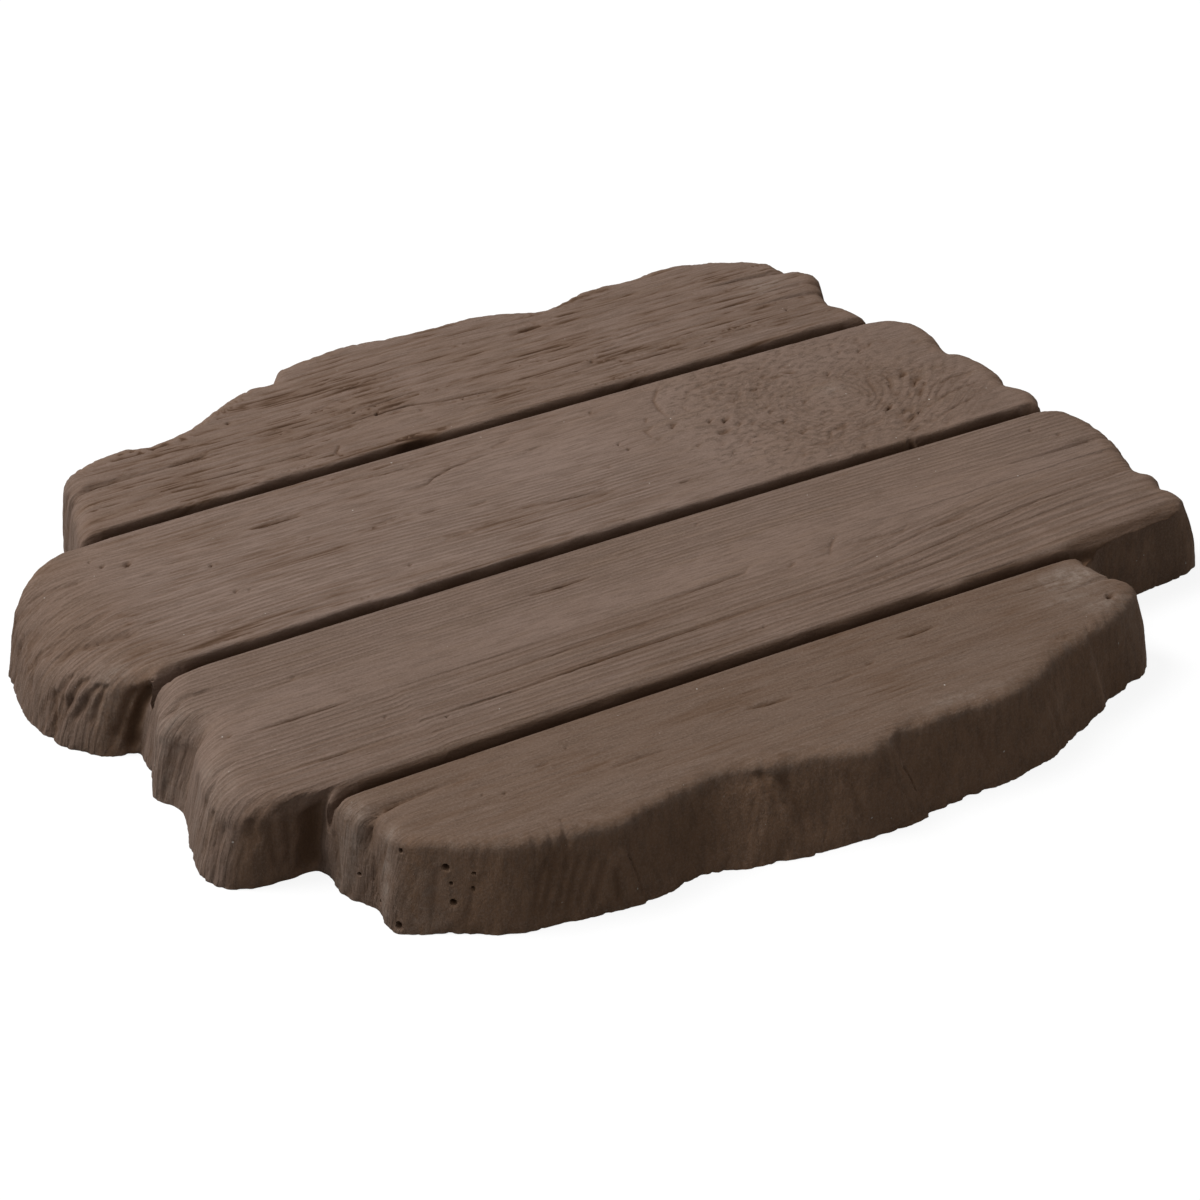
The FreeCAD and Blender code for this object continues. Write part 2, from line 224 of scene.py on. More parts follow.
# Small holes in the top. Each: x, y, radius, depth.
pits = [
    (-5, 145.3, 1.3, 1.6), (103.5, 139, 1.4, 1.4), (209, 136, 1.0, 1.0), (-66, 172, 1.4, 1.2),
    (14, 138, 1.6, 0.8), (-155, 83.5, 2.0, 2.0), (-165, 87, 1.3, 1.2), (-168, 93, 1.0, 0.8),
    (-188, 60, 1.4, 1.2), (-125, 65, 1.2, 0.9), (-125.5, 41, 1.4, 1.1), (-120, 39, 0.9, 0.7),
    (-50, 105, 1.2, 0.9), (-54, 22.5, 1.1, 0.8), (-145, 17.5, 1.2, 0.8), (-80, 64, 0.9, 0.6),
    (78, 97, 1.2, 0.9), (74, 66, 1.1, 0.9), (75.5, 60, 1.2, 1.0), (60, 50.5, 1.4, 0.7),
    (120, 63, 2.0, 1.2), (126, 60, 2.2, 1.8), (129.5, 53.5, 2.2, 0.9), (137, 47, 1.8, 0.8),
    (148.5, 46, 2.0, 1.3), (103.5, 46.5, 1.6, 0.8), (113, 33, 0.9, 0.7), (149, 61, 2.0, 0.8),
    (148, 56, 2.2, 0.8), (166, 56, 2.0, 0.9), (150, 33, 1.8, 0.8), (190.5, 73, 1.8, 1.0),
    (207, 88, 1.6, 0.8), (215, 84, 1.8, 0.9), (223, 87, 1.9, 1.2), (210, 75, 1.6, 0.7),
    (207, 96, 1.4, 0.6), (-174, -53, 1.3, 1.4), (-95, -84.5, 0.9, 0.9), (-116, -73, 0.8, 0.7),
    (238, -17, 1.2, 0.8), (246, -27, 1.3, 0.8), (66, -11, 1.1, 0.7), (-134, -29, 1.4, 0.7),
    (47, -93, 1.0, 0.6), (181.5, -146, 1.6, 2.6), (-101, -141, 1.0, 0.7), (-66, -127, 0.9, 0.6),
    (-109, -138, 0.8, 0.6),
]

# Valleys in the walls and rolled ends, with shade painted in them. Each: route of places (x, y, z) from the top
# down, half width, depth, darkness of the painted shade.
valleys = [
    # upper board's worn end
    ([(-168, 33, 38), (-182, 35, 36), (-190, 38, 35), (-196, 42, 32), (-201, 43, 30),
      (-206, 44, 27)], 2.0, 2.0, 0.35),
    ([(-200, 66, 30), (-204, 66, 28), (-207, 66, 24), (-210, 65, 18)], 1.6, 1.4, 0.25),
    ([(-202, 30, 29), (-205, 32, 26), (-207, 32, 22), (-209, 31, 15)], 1.5, 1.4, 0.3),
    ([(-198, 23, 31), (-203, 25, 26), (-206, 26, 20), (-209, 28, 13)], 1.6, 1.6, 0.35),
    ([(-196, 17, 31), (-200, 19, 26), (-204, 21, 19), (-208, 24, 11)], 1.7, 1.7, 0.35),
    ([(-194, 14, 31), (-197, 15, 27), (-200, 16, 20), (-202, 17, 12)], 1.5, 1.4, 0.3),
    ([(-184, 7, 31), (-189, 8, 25), (-193, 9, 15), (-197, 9, 6)], 2.0, 1.8, 0.4),
    ([(-208, 36, 21), (-210, 35, 17), (-212, 33, 8), (-214, 32, 1)], 1.3, 1.4, 0.4),
    ([(-176, 53, 37), (-188, 52, 35), (-197, 54, 32), (-203, 53, 29), (-208, 50, 25)], 1.5, 1.1, 0.2),
    ([(-175, 81, 38), (-186, 82, 36), (-194, 85, 34), (-200, 86, 30)], 1.4, 1.0, 0.2),
    ([(-206, 57, 27), (-210, 55, 20), (-213, 52, 10)], 1.6, 1.3, 0.2),
    ([(-205, 76, 26), (-208, 75, 18), (-211, 74, 8)], 1.6, 1.2, 0.2),
    # mouths of the middle and the front groove
    ([(-178, 1, 34), (-182, 4, 29), (-186, 5.5, 22), (-189, 6, 14), (-191, 6, 1)], 3.2, 3.0, 0.7),
    ([(-162, -103, 33), (-163, -103, 24), (-165, -103, 13), (-165, -103, 1)], 6.0, 3.0, 0.55),
    # lower board's left end
    ([(-179, -41, 35), (-183, -41, 27), (-186, -41, 14), (-189, -42, 2)], 2.2, 1.2, 0.15),
    ([(-185, -32, 32), (-187, -32, 26), (-190, -31, 15), (-193, -31, 2)], 1.3, 0.5, 0.08),
    ([(-187, -26, 27), (-190, -25, 14), (-194, -25, 2)], 1.2, 0.5, 0.08),
    ([(-184, -17, 30), (-188, -16, 18), (-192, -15, 5)], 1.5, 1.0, 0.2),
    ([(-192, -74, 34), (-195, -72, 22), (-198, -75, 9)], 1.5, 1.2, 0.2),
    ([(-194, -83, 29), (-197, -82, 19), (-200, -83, 8)], 1.5, 1.1, 0.2),
    ([(-194, -91, 26), (-197, -89, 15), (-199, -91, 3)], 1.5, 1.0, 0.2),
    ([(-188, -60, 30), (-192, -59, 18), (-195, -60, 6)], 1.5, 1.1, 0.2),
    ([(-180, -100, 29), (-180, -101, 18), (-179, -101, 6)], 1.8, 1.1, 0.25),
    ([(-174, -101, 30), (-173, -102, 18), (-173, -102, 6)], 1.8, 1.1, 0.25),
    ([(-186, -97, 30), (-186, -98, 26), (-185, -99, 19)], 1.5, 0.9, 0.25),
    # front board's left end
    ([(-158, -113, 25), (-160, -116, 13), (-161, -119, 3)], 1.8, 1.0, 0.2),
    ([(-153, -132, 23), (-153, -134, 13), (-154, -136, 5)], 1.6, 0.9, 0.2),
    # front wall
    ([(-101, -174, 30), (-106, -175, 18), (-110, -176, 4)], 1.5, 1.0, 0.25),
    ([(-97, -174, 32), (-102, -176, 15), (-106, -177, 4)], 1.7, 1.3, 0.3),
    ([(-92, -175, 30), (-97, -177, 14), (-101, -178, 3)], 1.5, 1.1, 0.25),
    ([(-88, -177, 29), (-93, -178, 15), (-97, -179, 3)], 1.6, 1.2, 0.3),
    ([(-84, -178, 26), (-88, -179, 14), (-92, -180, 4)], 1.5, 1.0, 0.25),
    ([(-79, -179, 24), (-83, -180, 15), (-86, -180, 5)], 1.5, 0.9, 0.25),
    ([(-76, -180, 19), (-75, -181, 10), (-75, -182, 3)], 1.5, 1.3, 0.35),
    ([(-1, -177, 33), (2, -181, 24), (7, -186, 12)], 1.6, 1.1, 0.3),
    ([(-9, -174, 35), (-6, -178, 27), (-3, -181, 19)], 1.6, 1.0, 0.25),
    ([(-128, -167, 26), (-130, -166, 14), (-132, -166, 5)], 1.5, 0.6, 0.15),
    ([(-140, -158, 28), (-141, -159, 16), (-143, -160, 6)], 1.5, 0.6, 0.15),
    ([(25, -186, 30), (28, -189, 18), (31, -192, 6)], 1.6, 0.7, 0.2),
    ([(88, -184, 28), (91, -186, 16), (94, -188, 6)], 1.6, 0.7, 0.2),
    ([(124, -174, 28), (127, -176, 16), (130, -177, 6)], 1.6, 0.7, 0.2),
]

# Creases where the wall breaks into two facets. Each: route from the top down, reach, depth.
# The facet on the right, seen from outside, lies behind the other. A thin line of shade is painted along each
# crease.
creases = [
    ([(-72, -179, 28), (-69, -180, 19), (-66, -181, 12), (-65, -182, 6), (-65, -183, 1)], 9.0, 1.6),
    ([(-5, -176, 33), (-2, -180, 25), (1, -184, 16), (6, -189, 4)], 8.0, 1.3),
    ([(45, -183, 36), (50, -186, 27), (54, -188, 17), (58, -192, 3)], 11.0, 1.7),
    ([(157, -163, 35), (160, -165, 24), (163, -166, 14), (167, -166, 3)], 8.0, 1.4),
    ([(104, -180, 32), (107, -182, 20), (111, -184, 4)], 9.0, 0.7),
]

# Places of the wall with shade painted on them. Each: x, y, z, half length, half height, strength.
painted_shade_places = [
    (-42, -178, 16, 20, 14, 0.26), (4, -184, 20, 8, 12, 0.18), (66, -188, 16, 13, 14, 0.20),
    (112, -182, 14, 14, 12, 0.14), (172, -158, 14, 12, 16, 0.22), (70, -187, 18, 45, 26, 0.09),
    (140, -172, 18, 40, 26, 0.12),
]

# Air holes in the wall near its front left corner. Each: x, y, z, radius.
wall_pores = [
    (-149, -147.4, 33.0, 1.1), (-136.3, -158, 27.3, 1.5), (-135.1, -160.2, 20.8, 0.8),
    (-134.6, -162.1, 13.1, 1.4), (-128.3, -165.1, 18.9, 0.9), (-127.5, -164.3, 25.2, 0.7),
    (-153.7, -152.9, 3.4, 1.7), (-156.8, -127.3, 12.3, 0.9), (-153.7, -139.6, 6.0, 1.0),
]

# Pale worn ridges on the wall. Each: two ends (x, y, z), half width, strength.
pale_ridges = [
    ((-149, -140, 36), (-154.7, -144.7, 3), 3.5, 0.55), ((-153, -122, 36), (-157, -124, 24), 4.0, 0.45),
]

# Pale, dusty places on the top. Each: x, y, half length, half width, strength.
pale_patches = [
    (177, -127, 17, 8, 0.75), (168, -139, 16, 6, 0.35), (180, -150, 14, 6, 0.5), (213, 164, 12, 6, 0.5),
    (-182, -33, 7, 5, 0.2), (-189, -28, 9, 10, 0.40), (-191, -72, 9, 16, 0.25), (183, 61, 6, 5, 0.35),
    (-146, -160, 10, 8, 0.3), (88, -176, 22, 4, 0.35), (-192, 16, 10, 8, 0.35), (-158, -120, 8, 6, 0.4),
]

# Spacing of the skin's points
column_step = 1.15          # along the outline
along_step = 3.7            # on the top, along the grain
across_step = 0.85          # on the top, across the grain
knot_step = 1.7             # along the grain, about the knots
groove_step = 2.6           # along the grooves
underside_step = 12.0
foot_rows = (0.7, 1.6, 2.8, 4.4, 6.5)              # up the wall from the foot
roll_rows = (1.6, 3.2, 4.8, 6.6, 8.6, 11.0)        # down the rolled edge from the flat top
wall_row_count = 6
fibre_slant = 0.35          # how far the wall's fibres drift along it for each millimetre down
# Rows of points in front of a groove's middle line, and behind it
near_rows = (0.0, 1.2, 2.0, 2.5, 3.0, 3.4, 3.7, 4.0, 4.4, 4.9, 5.6, 6.6)
far_rows = (1.2, 2.0, 2.35, 2.7, 3.05, 3.4, 3.8, 4.3, 5.0, 5.8, 6.7)
knot_reach = (96.0, 236.0)
tallest_row = 4.5           # wall rows further apart than this get another between them
finder_rows = 61            # places up the wall among which a route's nearest is found
mark_gap = 0.55             # plain points of the top stay this far from those of a mark,
wall_mark_gap = 0.6         # plain points of the wall this far,
ring_gap = 0.75             # and the top's points this far from its loop
hole_gap = 2.1              # radii of an air hole within which the wall has no plain points
hole_rings = ((0.6, 6), (1.15, 9), (1.7, 11))      # shares of a hole's radius, and the points on each ring
crack_step = 1.6            # along a crack, and rows across it in half widths
crack_rows = (-1.4, -0.6, 0.0, 0.6, 1.4)
split_step = 1.5            # the same for a split
split_rows = (-1.1, -0.75, -0.4, 0.0, 0.4, 0.75, 1.1)
crease_half_width = 1.2
mark_foot_gap = 0.8         # the points of a wall's marks keep this far from its foot,
mark_rim_gap = 1.0          # and this far from the flat top
sharp_angle = 70.0          # degrees between faces above which an edge isn't smoothed

# Grain
lower_middle = -48.0        # y of the smooth band in the lower board
knot_heart = (181.0, 54.0)
knots_middle = (165.0, 55.0)
ring_spacing = 3.4          # between the rings of the knot, and between the fine lines of the boards
line_spacings = {"lower front": 2.8, "lower back": 2.3, "upper": 2.4, "back": 2.5}
grain_size = (14.0, 1.1, 14.0)      # along, across and up, for one unit of the grain mark


# Noise and small helpers

hash_steps = (374761393, 668265263, 2147483647)     # large odd numbers that scatter the noise's corners
hash_seed_step = 974634773
hash_mix = 1274126177
hash_word = 0xFFFFFFFF
noise_level = 1.6           # brings the noise to about -1 to 1


def smooth_step(low, high, value):
    """0 below low, 1 above high, an even curve between."""
    share = np.clip((value - low) / (high - low), 0.0, 1.0)
    return share * share * (3.0 - 2.0 * share)


def bell(value, middle, half_width):
    """1 in the middle, falling off evenly to both sides."""
    return np.exp(-(((value - middle) / half_width) ** 2))


def noise(x, y, z, seed):
    """Smooth random field of three coordinates, about -1 to 1, the same on every run."""
    places = np.broadcast_arrays(x, y, z)
    whole = [np.floor(p).astype(np.int64) for p in places]
    part = [p - w for p, w in zip(places, whole)]
    fade = [p * p * p * (p * (p * 6.0 - 15.0) + 10.0) for p in part]
    total = np.zeros(places[0].shape)
    for corner in product((0, 1), repeat=3):
        key = sum((w + c) * step for w, c, step in zip(whole, corner, hash_steps))
        key = (key + seed * hash_seed_step) & hash_word
        key = ((key ^ (key >> 13)) * hash_mix) & hash_word
        key = key ^ (key >> 16)
        turn = (key & 0xFFF) * (2.0 * math.pi / 4096.0)
        lift = ((key >> 12) & 0xFFF) / 2048.0 - 1.0
        flat = np.sqrt(1.0 - lift * lift)
        gap = [p - c for p, c in zip(part, corner)]
        slope = flat * np.cos(turn) * gap[0] + flat * np.sin(turn) * gap[1] + lift * gap[2]
        total += math.prod(f if c else 1.0 - f for f, c in zip(fade, corner)) * slope
    return total * noise_level


def plan_noise(x, y, length, width, seed):
    """Noise on the plan, stretched to a length along the boards and a width across them."""
    return noise(x / length, y / width, 0.0, seed)


def wander(x, y, length, width, seed, middle, swing, low, high):
    """A strength that strays from a middle value by noise on the plan, and stays within limits."""
    return np.clip(middle + swing * plan_noise(x, y, length, width, seed), low, high)


def grain_lines(along, across, spacing, length, seed, sharpness=0.16):
    """Thin lines along the grain: 1 on a line, falling to 0 beside it."""
    return bell(plan_noise(along, across, length, spacing, seed), 0.0, sharpness)


def route_distance(route, x, y):
    """For each point, its distance from a route and the share of the route's length where it is nearest."""
    route = np.array(route, float)
    lengths = np.hypot(*np.diff(route, axis=0).T)
    best = np.full(x.shape, np.inf)
    share = np.zeros(x.shape)
    travelled = 0.0
    for start, end, length in zip(route[:-1], route[1:], lengths):
        run = (end - start) / length
        along = np.clip((x - start[0]) * run[0] + (y - start[1]) * run[1], 0.0, length)
        distance = np.hypot(x - start[0] - along * run[0], y - start[1] - along * run[1])
        nearer = distance < best
        best = np.where(nearer, distance, best)
        share = np.where(nearer, (travelled + along) / lengths.sum(), share)
        travelled += length
    return best, share


def close_to(route, x, y, margin):
    """The points inside a route's box and a margin round it."""
    low, high = np.min(route, axis=0) - margin, np.max(route, axis=0) + margin
    return np.flatnonzero((x > low[0]) & (x < high[0]) & (y > low[1]) & (y < high[1]))


def grid_points(along, across):
    """Every pair of the two, as plane points."""
    return np.stack([g.ravel() for g in np.meshgrid(along, across)], axis=1)


# The outline

def station(foot, rim, inward, roll, drop):
    """One upright line of the outline: its foot, its wall's top and the inner end of its rolled edge."""
    foot = np.array([*foot, 0.0])
    rim = np.array([*rim, thickness])
    start = foot + (rim - foot) * (1.0 - drop / thickness)
    end = rim + roll * np.array([*inward, 0.0])
    return np.concatenate([foot, start, end])


def end_stations(ends, end_line, towards_middle, board):
    side, width = board_sides[board]
    rows = []
    for share, foot_back, rim_back in ends[board]:
        across = side + share * width
        roll, drop = edge_roll, edge_drop
        if ends is left_ends and board == "upper":
            worn = math.sin(math.pi * share)
            roll, drop = roll + dome_roll * worn, drop + dome_drop * worn
        if ends is left_ends and board == "lower":
            roll, drop = roll + worn_end_roll, drop + worn_end_drop
        foot = (end_line + towards_middle * foot_back, across)
        rim = (end_line + towards_middle * rim_back, across)
        rows.append(station(foot, rim, (towards_middle, 0.0), roll, drop))
    return rows


def edge_stations(edge, edge_line, towards_middle, roll, drop):
    rows = []
    for share, foot_back, rim_back in edge:
        along = left_line + share * stone_length
        foot = (along, edge_line + towards_middle * foot_back)
        rim = (along, edge_line + towards_middle * rim_back)
        worn = 1.0 + worn_front * smooth_step(*worn_front_reach, share) if edge is front_edge else 1.0
        rows.append(station(foot, rim, (0.0, towards_middle), roll * worn, drop * worn))
    return rows


def corner_station(name, end_line, edge_line, inward, roll, drop):
    end_back, edge_back, lean = corners[name]
    foot = np.array([end_line + inward[0] * end_back, edge_line + inward[1] * edge_back])
    inward = np.array(inward) / math.sqrt(2.0)
    return [station(foot, foot + lean * inward, inward, roll, drop)]


def outline_stations():
    """All stations, once round the stone, clockwise seen from above, from the front left corner."""
    left, right = [], []
    for board in board_sides:
        left += end_stations(left_ends, left_line, 1.0, board)
        right += end_stations(right_ends, right_line, -1.0, board)
    plain, thin = (edge_roll, edge_drop), (front_roll, front_drop)
    worn = [size * (1.0 + worn_front) for size in thin]
    front = edge_stations(front_edge, front_side, 1.0, *thin)
    back = edge_stations(back_edge, back_side, -1.0, *plain)
    front_left = corner_station("front left", left_line, front_side, (1, 1), *thin)
    back_left = corner_station("back left", left_line, back_side, (1, -1), *plain)
    back_right = corner_station("back right", right_line, back_side, (-1, -1), *plain)
    front_right = corner_station("front right", right_line, front_side, (-1, 1), *worn)
    left_side = front_left + left + back_left
    return np.array(left_side + back + back_right + right[::-1] + front_right + front[::-1])


def smooth_columns(stations):
    """Many upright lines on the smooth closed curve through the stations."""
    following = np.roll(stations, -1, axis=0)
    reach = np.hypot(*(following - stations)[:, :2].T)
    span = np.sqrt(reach)[:, None]
    ahead = (following - stations) / span
    across = (following - np.roll(stations, 1, axis=0)) / (span + np.roll(span, 1, axis=0))
    slope = np.roll(ahead, 1, axis=0) - across + ahead
    columns = []
    for index in range(len(stations)):
        after = (index + 1) % len(stations)
        count = max(2, round(reach[index] / column_step))
        s = (np.arange(count) / count)[:, None]
        columns.append(
            stations[index] * (2 * s**3 - 3 * s**2 + 1)
            + slope[index] * span[index] * (s**3 - 2 * s**2 + s)
            + stations[after] * (3 * s**2 - 2 * s**3)
            + slope[after] * span[index] * (s**3 - s**2)
        )
    return np.concatenate(columns)


class Wall:
    """The wall and rolled edge, as columns to be read at any place round the stone and any way up."""

    def __init__(self, columns):
        self.count = len(columns)
        self.foot, self.start, self.end = np.split(columns, 3, axis=1)
        middle = (self.foot + self.start)[:, :2] / 2.0
        steps = np.hypot(*(np.roll(middle, -1, axis=0) - middle).T)
        self.reach = np.concatenate([[0.0], np.cumsum(steps)])
        self.wall_length = np.linalg.norm(self.start - self.foot, axis=1)
        roll = np.hypot(*(self.end - self.start)[:, :2].T)
        drop = thickness - self.start[:, 2]
        self.roll_length = (math.pi / 2.0) * np.sqrt((roll**2 + drop**2) / 2.0)
        self.height = self.wall_length + self.roll_length
        along = np.roll(middle, -2, axis=0) - np.roll(middle, 2, axis=0)
        self.outward = np.stack([-along[:, 1], along[:, 0]], axis=1) / np.hypot(*along.T)[:, None]

    def read(self, values, column):
        low = np.floor(column).astype(int)
        share = column - low
        if values.ndim > 1:
            share = share[:, None]
        return values[low % self.count] * (1.0 - share) + values[(low + 1) % self.count] * share

    def place(self, column, up):
        """Plain places at a way up from the foot, and how far each has rolled over: 0 wall, 1 top."""
        foot, start, end = (self.read(v, column) for v in (self.foot, self.start, self.end))
        wall_length = self.read(self.wall_length, column)
        share = np.clip(up / wall_length, 0.0, 1.0)[:, None]
        rolled = np.clip((up - wall_length) / self.read(self.roll_length, column), 0.0, 1.0)
        turn = rolled * math.pi / 2.0
        on_wall = foot + (start - foot) * share
        on_roll = end + (start - end) * np.cos(turn)[:, None]
        on_roll[:, 2] = start[:, 2] + (thickness - start[:, 2]) * np.sin(turn)
        return np.where(share < 1.0, on_wall, on_roll), rolled


# Relief of the top

# Each board's grain gives how far it lies below the plain face, how dark it is there, and the coordinate
# across its fibres.

def lower_across(x, y):
    """The coordinate across the lower board's grain, which rises to the right in its front half."""
    rise = 12.0 * smooth_step(70, 230, x) * np.clip((y + 108.0) / 36.0, 0.0, 1.0)
    fall = 6.0 * smooth_step(100, 220, x) * np.clip(-y / 35.0, 0.0, 1.0)
    across = np.where(y < lower_middle, y - rise, y + fall)
    return across + 1.2 * smooth_step(-104, -107, x) * smooth_step(-50, -56, y)


def lower_grain(x, y):
    """Straight fine grain by the middle groove, a smooth band, then long dark lines that rise to the right."""
    across = lower_across(x, y)
    knotty = bell(x, 90, 24) * bell(y, -55, 22)
    by_groove = smooth_step(-38, -26, across) * (1.0 - 0.6 * knotty)
    far_side = smooth_step(-53, -60, across) * (1.0 - 0.85 * knotty)
    fine = grain_lines(x, across, 2.0, 130, 12)
    strong = grain_lines(x, across, 4.4, 260, 13, 0.12)
    strength = 0.75 + 0.5 * plan_noise(x, across, 60, 14, 14)
    depth = by_groove * 0.14 * fine + far_side * (0.14 * fine + 0.26 * strong)
    dark = by_groove * 0.10 * fine + far_side * (0.07 * fine + 0.26 * strong)
    return depth * strength + 0.05 * fine, dark * strength, across


def upper_across(x, y):
    """The coordinate across the upper board's grain, which bows on the left."""
    return y - 6.0 * bell(x, -95, 80) * bell(y, 45, 26) + 1.5 * plan_noise(x, y, 90, 30, 21)


def knot_rings(x, y):
    """Round the large knot: distance from its heart, the ring at each place, and how plain rings are."""
    stray = plan_noise(x, y, 24, 18, 25)
    heart_x, heart_y = knot_heart
    rings = np.hypot(x - heart_x, (y - heart_y) / 0.95) + 2.6 * stray + 0.6 * plan_noise(x, y, 9, 7, 48)
    fan = 101.5 - 80.0 * np.arctan2(y + 24.0, np.maximum(x - 157.0, 1.0)) + 1.5 * stray
    to_fan = smooth_step(197, 210, x) * smooth_step(68, 58, y)
    ripples = smooth_step(186, 194, x) * smooth_step(44, 34, rings) * smooth_step(74, 64, y)
    sweeps = 0.8 * smooth_step(42, 28, y) * smooth_step(142, 158, x) * smooth_step(66, 52, rings)
    fans = 1.3 * to_fan * smooth_step(258, 232, x) * smooth_step(5, 11, y) * smooth_step(64, 54, y)
    arcs = 0.5 * smooth_step(178, 166, x) * smooth_step(52, 42, rings) * smooth_step(8, 15, rings)
    plain = np.max([ripples, sweeps, fans, arcs], axis=0)
    plain = plain * wander(x, y, 13, 10, 28, 0.75, 0.7, 0.15, 1.3)
    return rings, rings + (fan - rings) * to_fan, plain


def upper_grain(x, y):
    """Streaky bowed grain on the left, a smooth middle, and rings round a large knot on the right."""
    across = upper_across(x, y)
    fine = grain_lines(x, across, 1.7, 45, 23)
    broken = grain_lines(x, across, 3.6, 110, 22) * (0.3 + 0.7 * fine)
    smooth_middle = bell(x, 30, 45) * bell(y, 70, 24)
    calm = (0.55 + 0.6 * plan_noise(x, y, 70, 22, 24)) * (1.0 - 0.85 * smooth_middle)
    lined = np.clip(calm, 0.12, 1.2)
    rings, ringed, plain_rings = knot_rings(x, y)
    ring_lines = 0.5 + 0.5 * np.sin(2.0 * math.pi * ringed / ring_spacing)
    ring_depth = 0.45 * plain_rings * ring_lines**1.6
    ticks = smooth_step(0.22, 0.62, plan_noise(0.77 * x + 0.64 * y, 0.77 * y - 0.64 * x, 6.5, 2.1, 29))
    rough = wander(x, y, 26, 18, 30, 0.45, 1.1, 0.0, 1.2) * smooth_step(6, 20, rings)
    dents = 0.65 * plan_noise(x, y, 6, 4.5, 46) + 0.45 * plan_noise(x, y, 3, 2.2, 47)
    lumps = smooth_step(80, 58, rings) * rough * (0.95 * ticks + dents)
    knotty = smooth_step(70, 104, x)
    depth = lined * (0.40 * broken + 0.20 * fine)
    depth = depth * (1.0 - knotty) + knotty * (ring_depth + lumps + 0.05 * fine)
    dark = lined * (0.52 * broken + 0.22 * fine)
    dark = dark * (1.0 - knotty) + knotty * np.clip(0.25 * ring_depth + 0.35 * lumps, 0.0, 1.0)
    return depth, dark, across


def back_grain(x, y):
    """Wavy streaks that part round a long lens beside the groove."""
    lens = 6.0 * bell(x, 0, 34) * bell(y, 141, 9) * np.sign(y - 131.0)
    across = y - lens + 2.6 * plan_noise(x, y, 75, 26, 31) + 0.8 * plan_noise(x, y, 22, 9, 32)
    fine = grain_lines(x, across, 1.8, 50, 34)
    broken = grain_lines(x, across, 3.8, 120, 33) * (0.25 + 0.75 * fine)
    strength = wander(x, y, 55, 18, 35, 0.75, 0.7, 0.1, 1.4)
    strength = strength * (1.0 - 0.9 * bell(x, 0, 17) * bell(y, 130, 6.5))
    lumps = 0.9 * bell(x, 38, 22) * bell(y, 121, 6) * plan_noise(x, y, 8, 5, 36)
    return strength * (0.55 * broken + 0.25 * fine) + lumps, strength * (0.74 * broken + 0.28 * fine), across


def front_grain(x, y):
    """A smoother board with faint, broken streaks."""
    across = y + 1.6 * plan_noise(x, y, 100, 24, 41)
    streaks = grain_lines(x, across, 3.2, 70, 42)
    fine = grain_lines(x, across, 1.7, 32, 43)
    strength = wander(x, y, 45, 14, 44, 0.35, 0.5, 0.05, 1.0)
    return strength * (0.30 * streaks + 0.22 * fine), strength * (0.50 * streaks + 0.28 * fine), across


board_grain = {"front": front_grain, "lower": lower_grain, "upper": upper_grain, "back": back_grain}


def add_cracks(x, y, depth, dark):
    for route, half_width, crack_depth in cracks:
        near = close_to(route, x, y, 4.0 * half_width)
        distance, share = route_distance(route, x[near], y[near])
        ends = np.clip(np.sin(math.pi * np.clip(share, 0.0, 1.0)), 0.0, 1.0) ** 0.6
        uneven = 1.25 + 0.6 * plan_noise(x[near], y[near], 5, 2, 3)
        cut = bell(1.2 * distance * uneven, 0.0, half_width) * ends
        depth[near] += crack_depth * cut
        # painted shade in the crack
        dark[near] += 0.55 * min(1.0, crack_depth) ** 1.5 * cut


def add_pits(x, y, depth, dark):
    for pit_x, pit_y, radius, pit_depth in pits:
        near = close_to([(pit_x, pit_y)], x, y, 3.0 * radius)
        gap_x, gap_y = x[near] - pit_x, y[near] - pit_y
        by_knot = pit_x > knot_reach[0] and 10.0 < pit_y < board_pitch
        thinness, slimness = (0.5, 2.1) if by_knot else (0.70, 1.6)
        reach = np.hypot(thinness * (0.8 * gap_x + 0.6 * gap_y), slimness * (0.8 * gap_y - 0.6 * gap_x))
        uneven = 1.2 + 0.5 * plan_noise(x[near], y[near], 1.6, 1.6, 4)
        cut = np.exp(-((reach * uneven / radius) ** 2.5))
        depth[near] += pit_depth * cut
        # painted shade in the pit
        dark[near] += 0.75 * min(1.0, pit_depth / 2.0) * cut


def top_relief(x, y):
    """How far the top lies below its plain face, how dark its grain is with shade painted in its cracks and pits,
    and the coordinate across its grain.
    """
    depth, dark, across = np.zeros((3, *x.shape))
    for seed, (board, (side, width)) in enumerate(board_sides.items()):
        low = side - board_overhang if board == "front" else side
        high = side + width + board_overhang if board == "back" else side + width
        here = (y >= low) & (y < high)
        depth[here], dark[here], across[here] = board_grain[board](x[here], y[here])
        fibre_marks = smooth_step(0.42, 0.75, plan_noise(x[here], across[here], 9, 1.3, 70 + seed))
        fibre_marks = fibre_marks * wander(x[here], y[here], 40, 20, 60 + seed, 0.5, 0.9, 0.0, 1.0)
        depth[here] += 0.30 * fibre_marks
        dark[here] += 0.30 * fibre_marks
    depth += 0.35 * plan_noise(x, y, 80, 30, 1) + 0.10 * plan_noise(x, y, 14, 8, 2)
    add_cracks(x, y, depth, dark)
    add_pits(x, y, depth, dark)
    return depth, np.clip(dark, 0.0, 1.0), across


# The grooves and the end splits

def groove_bow(x):
    """How far the grooves bow to the back from their straight lines."""
    return 2.1 - ((x + 35.0) / 160.0) ** 2


def far_arris(x, groove):
    """How far the back lip of a groove strays from its line."""
    stray = 0.8 * noise(x / 34.0, groove, 0.5, 51) + 0.5 * noise(x / 11.0, groove, 0.5, 52)
    for line, middle, half_length, bulge in lip_bulges:
        if line == groove:
            stray = stray - bulge * bell(x, middle, half_length)
    return stray


